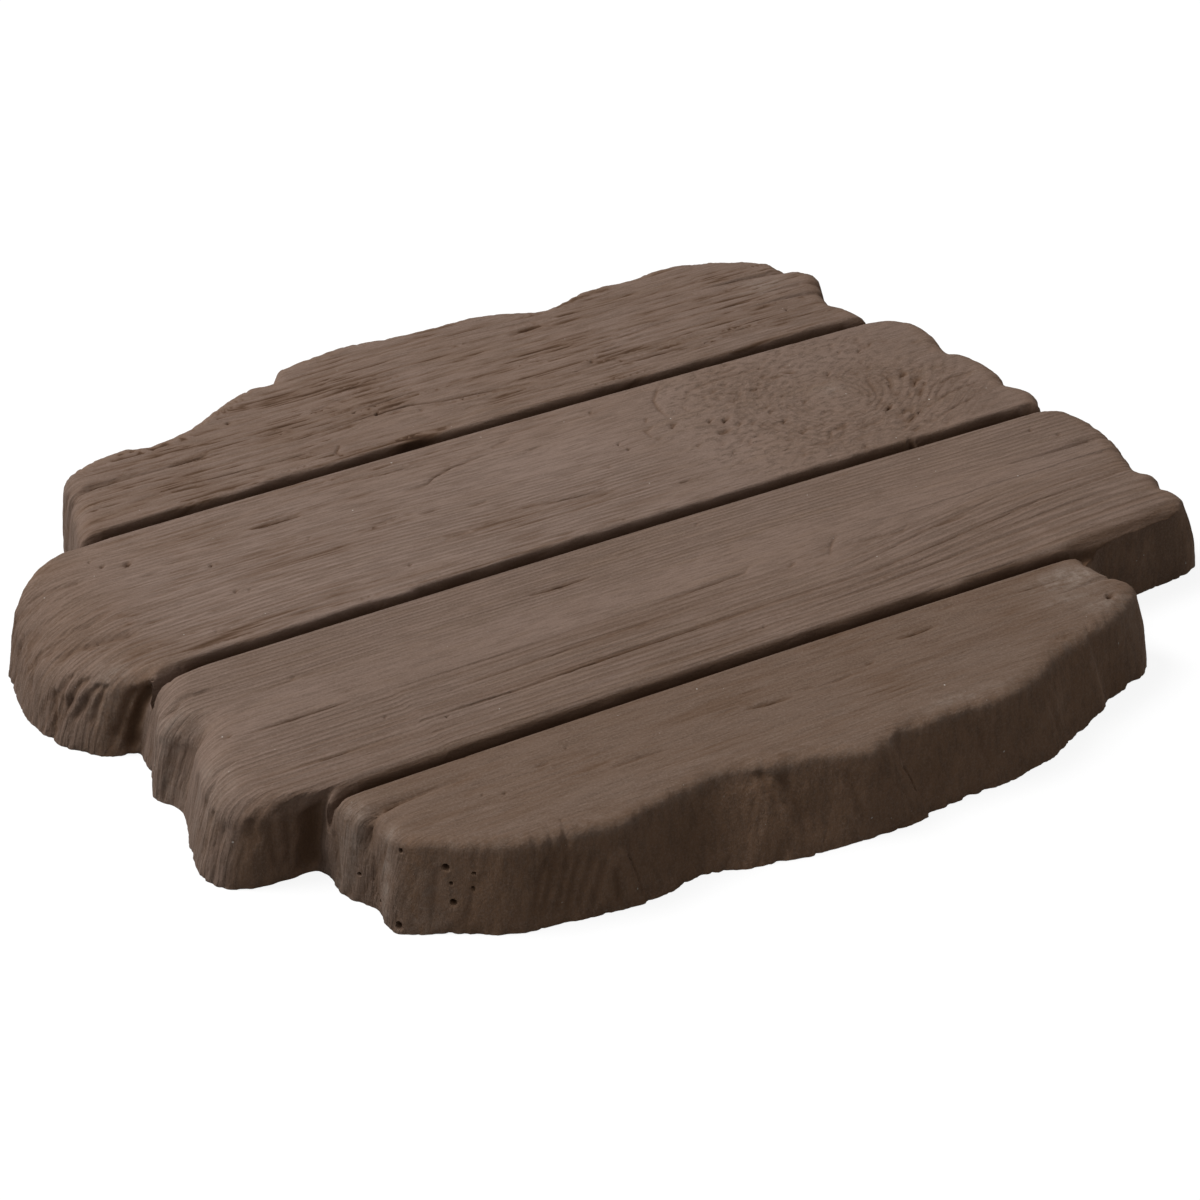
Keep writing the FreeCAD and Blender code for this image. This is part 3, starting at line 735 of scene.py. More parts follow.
def groove_height(offset, radius, depth):
    """Height of a groove's side at a distance from its middle line, with a rounded arris at the top."""
    lean = math.atan2((groove_width - groove_floor) / 2.0, groove_depth)
    lead_in = math.radians(90.0 - arris_lead_in)
    centre_z = thickness - radius * math.sin(lead_in)
    wall_z = centre_z + radius * math.sin(lean)
    wall_half = groove_width / 2.0 - (thickness - wall_z) * math.tan(lean)
    centre = wall_half + radius * math.cos(lean)
    mouth = centre - radius * math.cos(lead_in)
    arc = centre_z + np.sqrt(np.clip(radius**2 - (centre - offset) ** 2, 0.0, None))
    side = wall_z - (wall_half - offset) / math.tan(lean)
    height = np.maximum(np.where(offset > wall_half, arc, side), thickness - depth)
    return np.where(offset > mouth, clear_of_top, height)


def carved(x, y):
    """The height that the grooves leave at most, and the shade painted on their sides, 0 to 1."""
    limit = np.full(x.shape, clear_of_top)
    open_end = np.zeros(x.shape)
    for groove in groove_lines:
        offset = y - groove - groove_bow(x)
        near_radius, far_radius, depth = near_arris_radius, far_arris_radii[groove], groove_depth
        for line, start, full, near_wear, far_wear, deeper in worn_mouths:
            if line == groove:
                worn = smooth_step(start, full, x)
                near_radius = near_radius + near_wear * worn
                far_radius = far_radius + far_wear * worn
                depth = depth + deeper * worn
                open_end = np.maximum(open_end, worn * (np.abs(offset) < 15.0) * (deeper > 0.0))
        near = groove_height(np.maximum(-offset, 0.0), near_radius, depth)
        far = groove_height(np.maximum(offset - far_arris(x, groove), 0.0), far_radius, depth)
        limit = np.minimum(limit, np.where(offset > 0.0, far, near))
    below = thickness - limit
    # painted shade: brown down a groove's back wall, near black towards its floor, lighter where it runs out; the
    # hole is painted dark too
    shade = 0.42 * smooth_step(0.35, 1.7, below) + 0.36 * smooth_step(3.4, 6.2, below)
    shade = shade * (1.0 - 0.75 * open_end)
    hole_x, hole_y, radius, depth = groove_hole
    hole = np.exp(-((np.hypot(x - hole_x, y - hole_y) / radius) ** 4)) * (limit < thickness)
    return limit - depth * hole, np.maximum(shade, hole)


def split_reach(half_width, share):
    """How far a split's sides stand from its middle, at a share of its length from the tip."""
    return 1.6 * (half_width * (0.15 + 0.85 * share))


def split_cut(x, y):
    """How deep the end splits cut into the surface."""
    deepest = np.zeros(x.shape)
    for route, half_width, depth in splits:
        near = close_to(route, x, y, 2.0 * half_width)
        distance, share = route_distance(route, x[near], y[near])
        cut = np.clip(1.0 - distance / split_reach(half_width, share), 0.0, 1.0) ** 1.3
        cut = depth * (0.08 + 0.92 * share**1.3) * cut
        cut = cut * smooth_step(0.0, 0.08, share) * (0.3 + 0.7 * smooth_step(1.0, 0.8, share))
        deepest[near] = np.maximum(deepest[near], cut)
    return deepest


# Where the skin's points lie

def triangulate(loop, inner):
    """Triangles, anticlockwise, inside a closed loop of plane points, on those points and the inner ones."""
    points = np.concatenate([loop, inner])
    area = np.sum(loop[:, 0] * np.roll(loop[:, 1], -1) - np.roll(loop[:, 0], -1) * loop[:, 1])
    ring = list(range(len(loop)))
    if area < 0.0:
        ring.reverse()
    result = delaunay_2d_cdt([Vector(p) for p in points.tolist()], [], [ring], 1, 1e-5)
    first = np.array([origin[0] for origin in result[3]])
    return first[np.array(result[2])]


def tree_of(places):
    tree = KDTree(len(places))
    for index, place in enumerate(places.tolist()):
        tree.insert(place, index)
    tree.balance()
    return tree


def apart_from(points, others, gap, stretch=1.0):
    """Those of points that stay a gap away from all others, where lengths along x count less by stretch."""
    unit = np.array([stretch, 1.0])
    tree = tree_of(np.column_stack([others / unit, np.zeros(len(others))]))
    keep = [tree.find((x, y, 0.0))[2] > gap for x, y in (points / unit).tolist()]
    return points[np.array(keep, bool)]


def ring_points(x, y, radius):
    """A point with three rings round it, for a small hole."""
    rows = [(x, y)]
    for reach, count in hole_rings:
        turn = np.arange(count) * 2.0 * math.pi / count + reach
        rows += list(zip(x + reach * radius * np.cos(turn), y + reach * radius * np.sin(turn)))
    return rows


def steps_along(route, step):
    """Places along a route, each with the direction across it and its share of the route's length."""
    route = np.array(route, float)
    lengths = np.hypot(*np.diff(route, axis=0).T)
    for index, (start, end, length) in enumerate(zip(route[:-1], route[1:], lengths)):
        side = np.array([start[1] - end[1], end[0] - start[0]]) / length
        for part in np.arange(0.0, 1.0, min(1.0, step / length)):
            share = (lengths[:index].sum() + length * part) / lengths.sum()
            yield start + (end - start) * part, side, share


def crack_points(route, half_width):
    """Rows of points along a crack and on both of its lips."""
    rows = []
    for here, side, _ in steps_along(route, crack_step):
        rows += [tuple(here + side * half_width * offset) for offset in crack_rows]
    return rows + [tuple(route[-1])]


def split_points(route, half_width):
    """Rows of points down the widening sides of a split."""
    rows = []
    for here, side, share in steps_along(route, split_step):
        rows += [tuple(here + side * split_reach(half_width, share) * offset) for offset in split_rows]
    return rows


def plain_points(board, lip):
    """A board's rows of points along its grain, closer together about the knots."""
    side, width = board_sides[board]
    low = side if board == "front" else side + lip
    high = side + width if board == "back" else side + width - lip
    across = np.linspace(low, high, round((high - low) / across_step) + 1)
    along = np.arange(left_line, right_line, along_step)
    if board == "upper":
        outside = (along < knot_reach[0]) | (along > knot_reach[1])
        along = np.concatenate([along[outside], np.arange(knot_reach[0] + 1.0, knot_reach[1], knot_step)])
    return grid_points(along, across)


def groove_points(groove):
    """Rows of points down both sides of a groove."""
    along = np.arange(left_line, right_line, groove_step)
    middle = groove + groove_bow(along)
    rows = [np.stack([along, middle - offset], axis=1) for offset in near_rows]
    stray = far_arris(along, groove)
    return np.concatenate(rows + [np.stack([along, middle + offset + stray], axis=1) for offset in far_rows])


def top_points():
    """Where the top's points lie inside its loop: the boards, the grooves, and extra ones on each mark."""
    lip = far_rows[-1] + across_step
    plain = np.concatenate([plain_points(board, lip) for board in board_sides])
    plain[:, 1] += groove_bow(plain[:, 0])
    grooves = [groove_points(groove) for groove in groove_lines] + [np.array(ring_points(*groove_hole[:3]))]
    marks = []
    for route, half_width, _ in cracks:
        marks += crack_points(route, half_width)
    for route, half_width, _ in splits:
        marks += split_points(route, half_width)
    for x, y, radius, _ in pits:
        marks += ring_points(x, y, radius)
    marks = np.array(marks)
    for groove in groove_lines:
        marks = marks[np.abs(marks[:, 1] - groove - groove_bow(marks[:, 0])) > lip]
    return np.concatenate([apart_from(plain, marks, mark_gap, along_step / across_step), *grooves, marks])


def wall_points(wall):
    """The loop and the inner points of the plain wall's skin, as column and way up."""
    columns = np.arange(wall.count + 1, dtype=float)
    height = wall.read(wall.height, columns)
    low, high = foot_rows[-1], height - roll_rows[-1]
    rise = (high - low) / wall_row_count
    ways = [np.full(columns.shape, row) for row in foot_rows]
    ways += [low + (high - low) * row / wall_row_count for row in range(1, wall_row_count)]
    ways += [height - row for row in roll_rows[::-1]]
    ways = np.array(ways)
    seam = ways[:, 0]
    bottom = np.stack([columns, np.zeros(columns.shape)], axis=1)
    top = np.stack([columns[::-1], height[::-1]], axis=1)
    right = np.stack([np.full(seam.shape, float(wall.count)), seam], axis=1)
    left = np.stack([np.zeros(seam.shape), seam[::-1]], axis=1)
    inner = [np.stack([np.broadcast_to(columns, ways.shape)[:, 1:-1].ravel(), ways[:, 1:-1].ravel()], axis=1)]
    tall = rise > tallest_row
    tall[0] = tall[-1] = False
    for row in range(wall_row_count):
        middle = low + (high - low) * (row + 0.5) / wall_row_count
        inner.append(np.stack([columns, middle], axis=1)[tall])
    return np.concatenate([bottom, right, top, left]), np.concatenate(inner)


def pore_columns(wall):
    """Where the wall's air holes lie: column, way up and radius."""
    found = []
    for x, y, z, radius in wall_pores:
        share = np.clip(z / wall.start[:, 2], 0.0, 1.0)[:, None]
        place = wall.foot + (wall.start - wall.foot) * share
        column = int(np.argmin(np.hypot(place[:, 0] - x, place[:, 1] - y)))
        found.append((float(column), share[column, 0] * wall.wall_length[column], radius))
    return found


def lay_flat(wall, scale, lists):
    """Lists whose routes of places near the wall become millimetres along the outline and up the wall."""
    column, share = grid_points(np.arange(wall.count, dtype=float), np.linspace(0.0, 1.0, finder_rows)).T
    up = share * wall.read(wall.height, column)
    tree = tree_of(wall.place(column, up)[0])

    def flat(route):
        found = [tree.find(point)[1] for point in route]
        return np.stack([column[found] * scale[0], up[found]], axis=1)

    return [[(flat(route), *sizes) for route, *sizes in rows] for rows in lists]


def wall_skin_points(wall, scale, holes, flat_valleys, flat_creases):
    """The wall's points, where those of its air holes, valleys and creases take the place of plain ones."""
    loop, inner = wall_points(wall)
    for column, up, radius in holes:
        gap = np.hypot((inner[:, 0] - column) * scale[0], inner[:, 1] - up)
        inner = inner[gap > hole_gap * radius]
    for column, up, radius in holes:
        inner = np.concatenate([inner, np.array(ring_points(column * scale[0], up, radius)) / scale])
    extra = []
    for route, half_width, *_ in flat_valleys:
        extra += crack_points(route, half_width)
    for route, *_ in flat_creases:
        extra += crack_points(route, crease_half_width)
    extra = np.array(extra)
    top_of_wall = wall.read(wall.height, extra[:, 0] / scale[0])
    extra = extra[(extra[:, 1] > mark_foot_gap) & (extra[:, 1] < top_of_wall - mark_rim_gap)]
    return loop, np.concatenate([apart_from(inner * scale, extra, wall_mark_gap), extra]) / scale


# Relief of the wall

def right_of(route, x, y):
    """1 on the right of a flat route that runs down, -1 on its left."""
    start, run = route[0], route[-1] - route[0]
    return np.sign(run[1] * (x - start[0]) - run[0] * (y - start[1]))


def mark_walls(flat_valleys, flat_creases, along, up):
    """How far the valleys and creases lie behind the plain wall, and how dark the shade painted in them is."""
    sunk, dark = np.zeros((2, *along.shape))
    for route, half_width, depth, darkness in flat_valleys:
        near = close_to(route, along, up, 3.0 * half_width)
        distance, share = route_distance(route, along[near], up[near])
        uneven = 1.0 + 0.35 * plan_noise(along[near], up[near], 4, 9, 90)
        ends = smooth_step(0.0, 0.15, share) * (0.4 + 0.6 * smooth_step(1.0, 0.85, share))
        cut = bell(distance * uneven, 0.0, half_width) * ends
        sunk[near] += depth * cut
        # painted shade in the valley
        dark[near] = np.maximum(dark[near], darkness * cut)
    for route, reach, depth in flat_creases:
        near = close_to(route, along, up, 3.0 * reach)
        distance, share = route_distance(route, along[near], up[near])
        offset = distance * right_of(route, along[near], up[near])
        ends = smooth_step(0.0, 0.15, share) * (0.6 + 0.4 * smooth_step(1.0, 0.9, share))
        sunk[near] += depth * np.tanh(offset / 2.2) * np.exp(-distance / reach) * ends
        # a thin line of painted shade along the crease
        dark[near] = np.maximum(dark[near], 0.10 * bell(offset, 2.0, 2.5) * ends)
    return sunk, dark


def wall_relief(wall, column, up, place, outward, rolled):
    """How far the skin stands out of the plain wall, how far its foot is chipped, and how dark it is."""
    x, y, z = place.T
    length = wall.reach[-1]
    reach = np.interp(column % wall.count, np.arange(wall.count + 1), wall.reach) + fibre_slant * up
    turn = 2.0 * math.pi * reach / length
    across = (length / (2.0 * math.pi) * np.cos(turn), length / (2.0 * math.pi) * np.sin(turn))

    def fibre_noise(width, height, seed):
        return noise(across[0] / width, across[1] / width, up / height, seed)

    left, right = np.clip(-outward[:, 0], 0.0, 1.0), np.clip(outward[:, 0], 0.0, 1.0)
    front, back = np.clip(-outward[:, 1], 0.0, 1.0), np.clip(outward[:, 1], 0.0, 1.0)
    strength = 0.85 * left + 0.40 * right + 0.26 * front + 0.40 * back
    strength = strength * np.clip(0.75 + 0.9 * fibre_noise(30, 60, 81), 0.15, 1.5)
    strength = strength * (1.0 - 0.45 * left * smooth_step(-112, -104, y) * smooth_step(2, -8, y))
    fibres = fibre_noise(5, 70, 82)
    furrows = bell(fibre_noise(5.5, 60, 83), 0.0, 0.13)
    out = strength * (0.50 * fibres + 0.28 * fibre_noise(2.2, 40, 84) - 0.60 * furrows)
    out = out * (1.0 - smooth_step(0.65, 1.0, rolled))
    broad = 0.7 * noise(x / 24.0, y / 24.0, z / 34.0, 85) + 0.5 * noise(x / 11.0, y / 11.0, z / 18.0, 91)
    out = out + broad * (1.0 - rolled)
    way_up = np.clip(up / wall.read(wall.wall_length, column), 0.0, 1.4)
    out = out + (2.6 * right**2 + 0.8 * left) * np.sin(math.pi * way_up / 1.4)
    worn_rim = np.sin(math.pi * np.clip(rolled, 0.0, 1.0))
    out = out + (0.12 + 0.22 * worn_rim) * noise(x / 5.0, y / 5.0, z / 5.0, 86)
    ragged = np.clip(0.65 + 0.9 * fibre_noise(40, 90, 87), 0.15, 1.3)
    chips = 2.4 * np.clip(fibre_noise(6.5, 60, 88) + 0.02, 0.0, 1.0) * np.exp(-z / 3.2)
    crumbs = 2.0 * np.clip(fibre_noise(3.2, 30, 89) - 0.05, 0.0, 1.0) * np.exp(-z / 1.6)
    # painted shade in the wall's furrows
    dark = np.clip(strength * (0.50 * furrows - 0.16 * fibres), 0.0, 0.6) * (1.0 - rolled)
    return out, ragged * (chips + crumbs), dark


def painted_wall_shade(place):
    """How dark the shade painted at the listed places makes the wall."""
    dark = np.zeros(len(place))
    for x, y, z, half_length, half_height, strength in painted_shade_places:
        gap = np.hypot(place[:, 0] - x, place[:, 1] - y)
        dark = np.maximum(dark, strength * bell(gap, 0.0, half_length) * bell(place[:, 2], z, half_height))
    return dark


def dress_wall(wall, params, scale, holes, flat_valleys, flat_creases):
    """Places of the wall's points with all relief, how dark they are, and the grain's coordinate there."""
    column, up = params.T
    place, rolled = wall.place(column, up)
    outward = wall.read(wall.outward, column)
    on_top, on_wall = np.sin(rolled * math.pi / 2.0), np.cos(rolled * math.pi / 2.0)
    stands_out, chipped, dark = wall_relief(wall, column, up, place, outward, rolled)
    for hole_column, hole_up, radius in holes:
        gap = np.hypot((column - hole_column) * scale[0], up - hole_up) / radius
        sunk = np.exp(-((1.15 * gap) ** 6))
        stands_out = stands_out - 2.2 * radius * sunk
        # painted shade in the air hole
        dark = np.maximum(dark, sunk)
    sunk, mark_dark = mark_walls(flat_valleys, flat_creases, column * scale[0], up)
    below_groove = smooth_step(0.0, 5.0, carved(place[:, 0], place[:, 1])[0] - place[:, 2])
    below_roll = np.maximum(wall.read(wall.start, column)[:, 2] - place[:, 2], 0.0)
    cut = split_cut(place[:, 0], place[:, 1]) * bell(below_roll, 0.0, 8.0)
    stands_out = stands_out - sunk * below_groove - cut
    # painted shade of the valleys and creases
    dark = np.maximum(dark, mark_dark * (0.2 + 0.8 * below_groove))
    # painted shade at the listed places of the wall
    dark = np.maximum(dark, painted_wall_shade(place) * (1.0 - rolled))
    # painted shade in the splits' open ends
    dark = np.maximum(dark, 0.3 * smooth_step(0.2, 3.5, cut))
    place[:, :2] += outward * (stands_out * on_wall - chipped)[:, None]
    place[:, 2] += stands_out * on_top
    depth, top_dark, across = top_relief(place[:, 0], place[:, 1])
    place[:, 2] -= depth * on_top**2
    limit, shade = carved(place[:, 0], place[:, 1])
    place[:, 2] = np.where(up > 0.0, np.minimum(place[:, 2], np.maximum(limit, 0.5)), 0.0)
    dark = np.maximum(dark, top_dark * on_top**2)
    # painted shade in the grooves, where they cut the wall
    dark = np.maximum(dark, 0.7 * shade * (place[:, 2] > limit - 0.01))
    return place, dark, across, rolled, outward


# The whole skin

def join_seam(wall, total):
    """The point that stands for each of the wall's, whose last column is its first, and the top row's start."""
    rows = len(foot_rows) + wall_row_count - 1 + len(roll_rows)
    first_top = wall.count + 1 + rows
    same = np.arange(total)
    same[wall.count] = 0
    same[first_top] = first_top + wall.count
    same[wall.count + 1:first_top] = first_top + wall.count + 1 + np.arange(rows)[::-1]
    return same, first_top


def dress_top(ring_plan):
    """Places and triangles of the top inside a loop, how dark it is, and the grain's coordinate there."""
    inner = apart_from(top_points(), ring_plan, ring_gap)
    x, y = inner.T
    depth, dark, across = top_relief(x, y)
    limit, shade = carved(x, y)
    cut = split_cut(x, y)
    z = np.minimum(thickness - depth - cut, limit - 0.25 * depth)
    # painted shade in the splits and the grooves, over the grain's darkness
    dark = np.max([dark, 0.6 * smooth_step(0.2, 3.0, cut), shade], axis=0)
    return np.stack([x, y, z], axis=1), triangulate(ring_plan, inner), dark, across


def flat_underside(foot_plan):
    """Places and triangles of the underside inside the foot loop."""
    along = np.arange(left_line, right_line, underside_step)
    grid = grid_points(along, np.arange(front_side, back_side, underside_step))
    inner = apart_from(grid, foot_plan, underside_step / 2.0)
    return np.column_stack([inner, np.zeros(len(inner))]), triangulate(foot_plan, inner)[:, ::-1]


def build_skin():
    """Points in plan millimetres, triangles, and what the material needs to know at each point."""
    wall = Wall(smooth_columns(outline_stations()))
    scale = np.array([wall.reach[-1] / wall.count, 1.0])
    holes = pore_columns(wall)
    flat_marks = lay_flat(wall, scale, (valleys, creases))
    loop, inner = wall_skin_points(wall, scale, holes, *flat_marks)
    params = np.concatenate([loop, inner])
    same, first_top = join_seam(wall, len(params))
    wall_triangles = same[triangulate(loop * scale, inner * scale)[:, ::-1]]
    place, dark, across, rolled, outward = dress_wall(wall, params, scale, holes, *flat_marks)
    top_ring = np.arange(first_top + 1, first_top + wall.count + 1)[::-1]
    top, top_triangles, top_dark, top_across = dress_top(place[top_ring, :2])
    foot_ring = np.arange(wall.count)
    under, under_triangles = flat_underside(place[foot_ring, :2])

    top_index = np.concatenate([top_ring, len(place) + np.arange(len(top))])
    under_index = np.concatenate([foot_ring, len(place) + len(top) + np.arange(len(under))])
    triangles = [wall_triangles, top_index[top_triangles], under_index[under_triangles]]
    none, all_of_it = np.zeros(len(top)), np.ones(len(under))
    # walls that don't face left, towards the lamp, get painted shade, a warmer brown; the same mask places the
    # wall's streaks
    streaks_and_shade = (1.0 - rolled) * smooth_step(-0.9, -0.5, outward[:, 0])
    marks = {
        # the grain's darkness, together with the shade painted in hollows, cracks, holes and grooves
        "grain_and_shade": np.concatenate([dark, top_dark, np.zeros(len(under))]),
        "wall": np.concatenate([1.0 - rolled, none, all_of_it]),
        "streaks_and_shade": np.concatenate([streaks_and_shade, none, all_of_it]),
        "across": np.concatenate([across, top_across, under[:, 1]]),
    }
    return np.concatenate([place, top, under]), np.concatenate(triangles), marks


def pale_places(points):
    """Dust and wear: the listed patches and ridges, and a little along the front board's rounded edge."""
    x, y, z = points.T
    pale = 0.22 * bell(z, 35.0, 2.4) * smooth_step(front_side + 46.0, front_side + 40.0, y)
    for patch_x, patch_y, half_length, half_width, strength in pale_patches:
        patch = bell(x, patch_x, half_length) * bell(y, patch_y, half_width)
        pale = np.maximum(pale, strength * patch)
    for start, end, half_width, strength in pale_ridges:
        run = np.subtract(end, start)
        share = np.clip((points - start) @ run / (run @ run), 0.0, 1.0)
        gap = np.linalg.norm(points - start - share[:, None] * run, axis=1)
        pale = np.maximum(pale, strength * bell(gap, 0.0, half_width))
    return pale


def fine_lines(points):
    """The even fine lines that the material draws: how many lines across each point lies, and how plain."""
    x, y, _ = points.T
    lower, upper = lower_across(x, y), upper_across(x, y)
    turns = lower / np.where(y < lower_middle, line_spacings["lower front"], line_spacings["lower back"])
    turns = np.where(y > 0.0, upper / line_spacings["upper"], turns)
    turns = np.where(y > board_pitch, y / line_spacings["back"], turns)
    _, ringed, plain_rings = knot_rings(x, y)
    on_upper = smooth_step(5, 9, y) * smooth_step(108, 104, y)
    by_knot = (x > 125.0) & (on_upper > 0.0)
    knotty = bell(x, 90, 26) * bell(y, -55, 24)
    by_groove = smooth_step(-40, -26, y) * smooth_step(0, -4, y) * (1.0 - 0.7 * knotty)
    far_side = 0.9 * smooth_step(-52, -59, y) * smooth_step(-110, -104, y) * (1.0 - knotty)
    left_part = 0.75 * on_upper * smooth_step(100, 60, x) * smooth_step(75, 40, y)
    left_part = np.maximum(left_part, 0.35 * on_upper * smooth_step(60, -20, x))
    back_strip = 0.5 * smooth_step(113, 116, y) * smooth_step(150, 125, y) * smooth_step(20, 60, x)
    shows = by_groove + far_side + left_part + back_strip
    shows = shows * wander(x, y, 50, 12, 15, 0.75, 0.7, 0.1, 1.25)
    turns = np.where(by_knot, ringed / ring_spacing, turns)
    return turns, np.where(by_knot, 0.9 * plain_rings * on_upper, shows)


def board_tone(points):
    """The front board is a shade darker than the others, the left part of the upper one a shade lighter."""
    x, y, _ = points.T
    upper = smooth_step(-2, 6, y) * smooth_step(112, 104, y)
    lighter = 0.24 * smooth_step(125, 50, x) * smooth_step(-195, -145, x) - 0.16 * bell(x, 175, 42)
    lighter = lighter * (1.0 - 0.4 * smooth_step(60, 95, y)) - 0.14 * smooth_step(-150, -195, x)
    back = 0.04 * smooth_step(104, 112, y)
    return 0.555 + back + lighter * upper - 0.43 * smooth_step(-104, -112, y)


def knot_places(points):
    """Where the upper board's knots break up its fibres."""
    x, y, _ = points.T
    gap = np.hypot(x - knots_middle[0], y - knots_middle[1])
    return smooth_step(82, 52, gap) * smooth_step(2, 10, y) * smooth_step(110, 102, y)


def plan_shift(frame_low):
    """Where the part's origin lies on the plan: the solid's lowest corner and the outline's are the same."""
    low = smooth_columns(outline_stations())[:, 0:2].min(axis=0)
    return np.array([low[0] - frame_low[0] * 1000.0, low[1] - frame_low[1] * 1000.0, 0.0])


def make_stone(shift):
    points, triangles, marks = build_skin()
    used = np.unique(triangles)
    renumber = np.zeros(len(points), int)
    renumber[used] = np.arange(len(used))
    points = points[used]
    marks = {name: values[used] for name, values in marks.items()}
    marks["pale"] = pale_places(points)
    marks["knot"] = knot_places(points)
    marks["turns"], marks["lines"] = fine_lines(points)
    marks["tone"] = board_tone(points)

    mesh = bpy.data.meshes.new("weathered_stone")
    mesh.from_pydata(((points - shift) / 1000.0).tolist(), [], renumber[triangles].tolist())
    for name in mark_names:
        attribute = mesh.attributes.new(name, "FLOAT", "POINT")
        attribute.data.foreach_set("value", marks[name].astype(np.float32))
    grain = np.stack([points[:, 0], marks["across"], points[:, 2]], axis=1) / grain_size
    attribute = mesh.attributes.new("grain", "FLOAT_VECTOR", "POINT")
    attribute.data.foreach_set("vector", grain.astype(np.float32).ravel())
    mesh.validate()
    mesh.shade_smooth()
    mesh.set_sharp_from_angle(angle=math.radians(sharp_angle))
    stone = bpy.data.objects.new("weathered_stone", mesh)
    bpy.context.scene.collection.objects.link(stone)
    return stone


# Material, with linear colours

mark_names = ("grain_and_shade", "wall", "streaks_and_shade", "pale", "knot", "turns", "lines", "tone")
body_dark = (0.178, 0.120, 0.091)
body_light = (0.214, 0.148, 0.117)
ochre = (0.186, 0.120, 0.078)
ruddy = (0.224, 0.148, 0.109)
tone_dark = (0.150, 0.097, 0.068)
tone_light = (0.268, 0.193, 0.158)
# painted shade colour of the walls turned away from the lamp
shaded_wall_brown = (0.208, 0.119, 0.069)
line_brown = (0.085, 0.055, 0.038)
sand_grey = (0.290, 0.213, 0.170)
speck_white = (0.55, 0.50, 0.45)
dust_grey = (0.35, 0.285, 0.24)
# painted shade colours for hollows, cracks, holes and grooves, also laid on the darker grain
grain_and_shade_brown = (0.108, 0.057, 0.030)
grain_and_shade_black = (0.026, 0.011, 0.005)
bump_strength = 0.75
bump_distance = 0.0008      # metres
shine = 0.12
roughness_range = (0.78, 0.95)


class NodeKit:
    """Short ways to add nodes to one tree and to join them."""

    def __init__(self, tree):
        self.tree = tree

    def join(self, value, socket):
        if isinstance(value, bpy.types.NodeSocket):
            self.tree.links.new(value, socket)
        else:
            socket.default_value = value

    def add(self, kind, inputs=None, output=0, **settings):
        """An output of a new node, the first one unless another is named."""
        node = self.tree.nodes.new("ShaderNode" + kind)
        for name, value in settings.items():
            setattr(node, name, value)
        for name, value in (inputs or {}).items():
            self.join(value, node.inputs[name])
        return node.outputs[output]

    def mark(self, name, output="Fac"):
        return self.add("Attribute", output=output, attribute_name=name)

    def noise(self, vector, scale, detail, roughness=0.5):
        inputs = {"Vector": vector, "Scale": scale, "Detail": detail, "Roughness": roughness}
        return self.add("TexNoise", inputs, "Fac")

    def mapped(self, vector, scale, turn=0.0):
        inputs = {"Vector": vector, "Scale": scale, "Rotation": (0.0, 0.0, turn)}
        return self.add("Mapping", inputs)

    def math(self, operation, *values):
        return self.add("Math", dict(enumerate(values)), operation=operation)

    def times(self, first, second):
        return self.math("MULTIPLY", first, second)

    def ramp(self, value, low, high, to_low=0.0, to_high=1.0):
        inputs = {"Value": value, "From Min": low, "From Max": high, "To Min": to_low, "To Max": to_high}
        return self.add("MapRange", inputs, "Result")

    def blend(self, factor, first, second):
        return self.add("Mix", {0: factor, 2: first, 3: second}, data_type="FLOAT")

    def tint(self, factor, first, colour):
        return self.add("Mix", {0: factor, 6: first, 7: (*colour, 1.0)}, 2, data_type="RGBA")


def surface_lines(kit, place, grain, slow):
    """Height of the fine relief that is too small for the mesh: fibres, even lines, ticks about the knots."""
    streaks_and_shade = kit.mark("streaks_and_shade")
    fibres = kit.noise(grain, 1.0, 4.0, 0.65)
    turn = kit.times(kit.mark("turns"), 2.0 * math.pi)
    turn = kit.math("ADD", turn, kit.times(kit.noise(slow, 1.0, 2.0), 8.0))
    wave = kit.math("MULTIPLY_ADD", kit.math("SINE", turn), 0.5, 0.5)
    fine = kit.times(kit.times(kit.math("POWER", wave, 2.2), kit.mark("lines")), 0.40)
    streaks = kit.noise(kit.mapped(place, (300.0, 300.0, 100.0)), 1.0, 4.0, 0.65)
    lumps = kit.noise(kit.mapped(place, (200.0, 520.0, 400.0), -0.7), 1.0, 3.0, 0.6)
    lines = kit.blend(kit.times(kit.mark("knot"), 0.85), fibres, lumps)
    lines = kit.blend(streaks_and_shade, lines, streaks)
    on_end = kit.times(kit.ramp(fibres, 0.5, 0.36), kit.math("SUBTRACT", kit.mark("wall"), streaks_and_shade))
    lines = kit.math("SUBTRACT", lines, kit.times(on_end, 0.16))
    ticks = kit.times(kit.ramp(lumps, 0.44, 0.33), kit.mark("knot"))
    return kit.math("SUBTRACT", lines, kit.math("ADD", fine, kit.times(ticks, 0.24)))


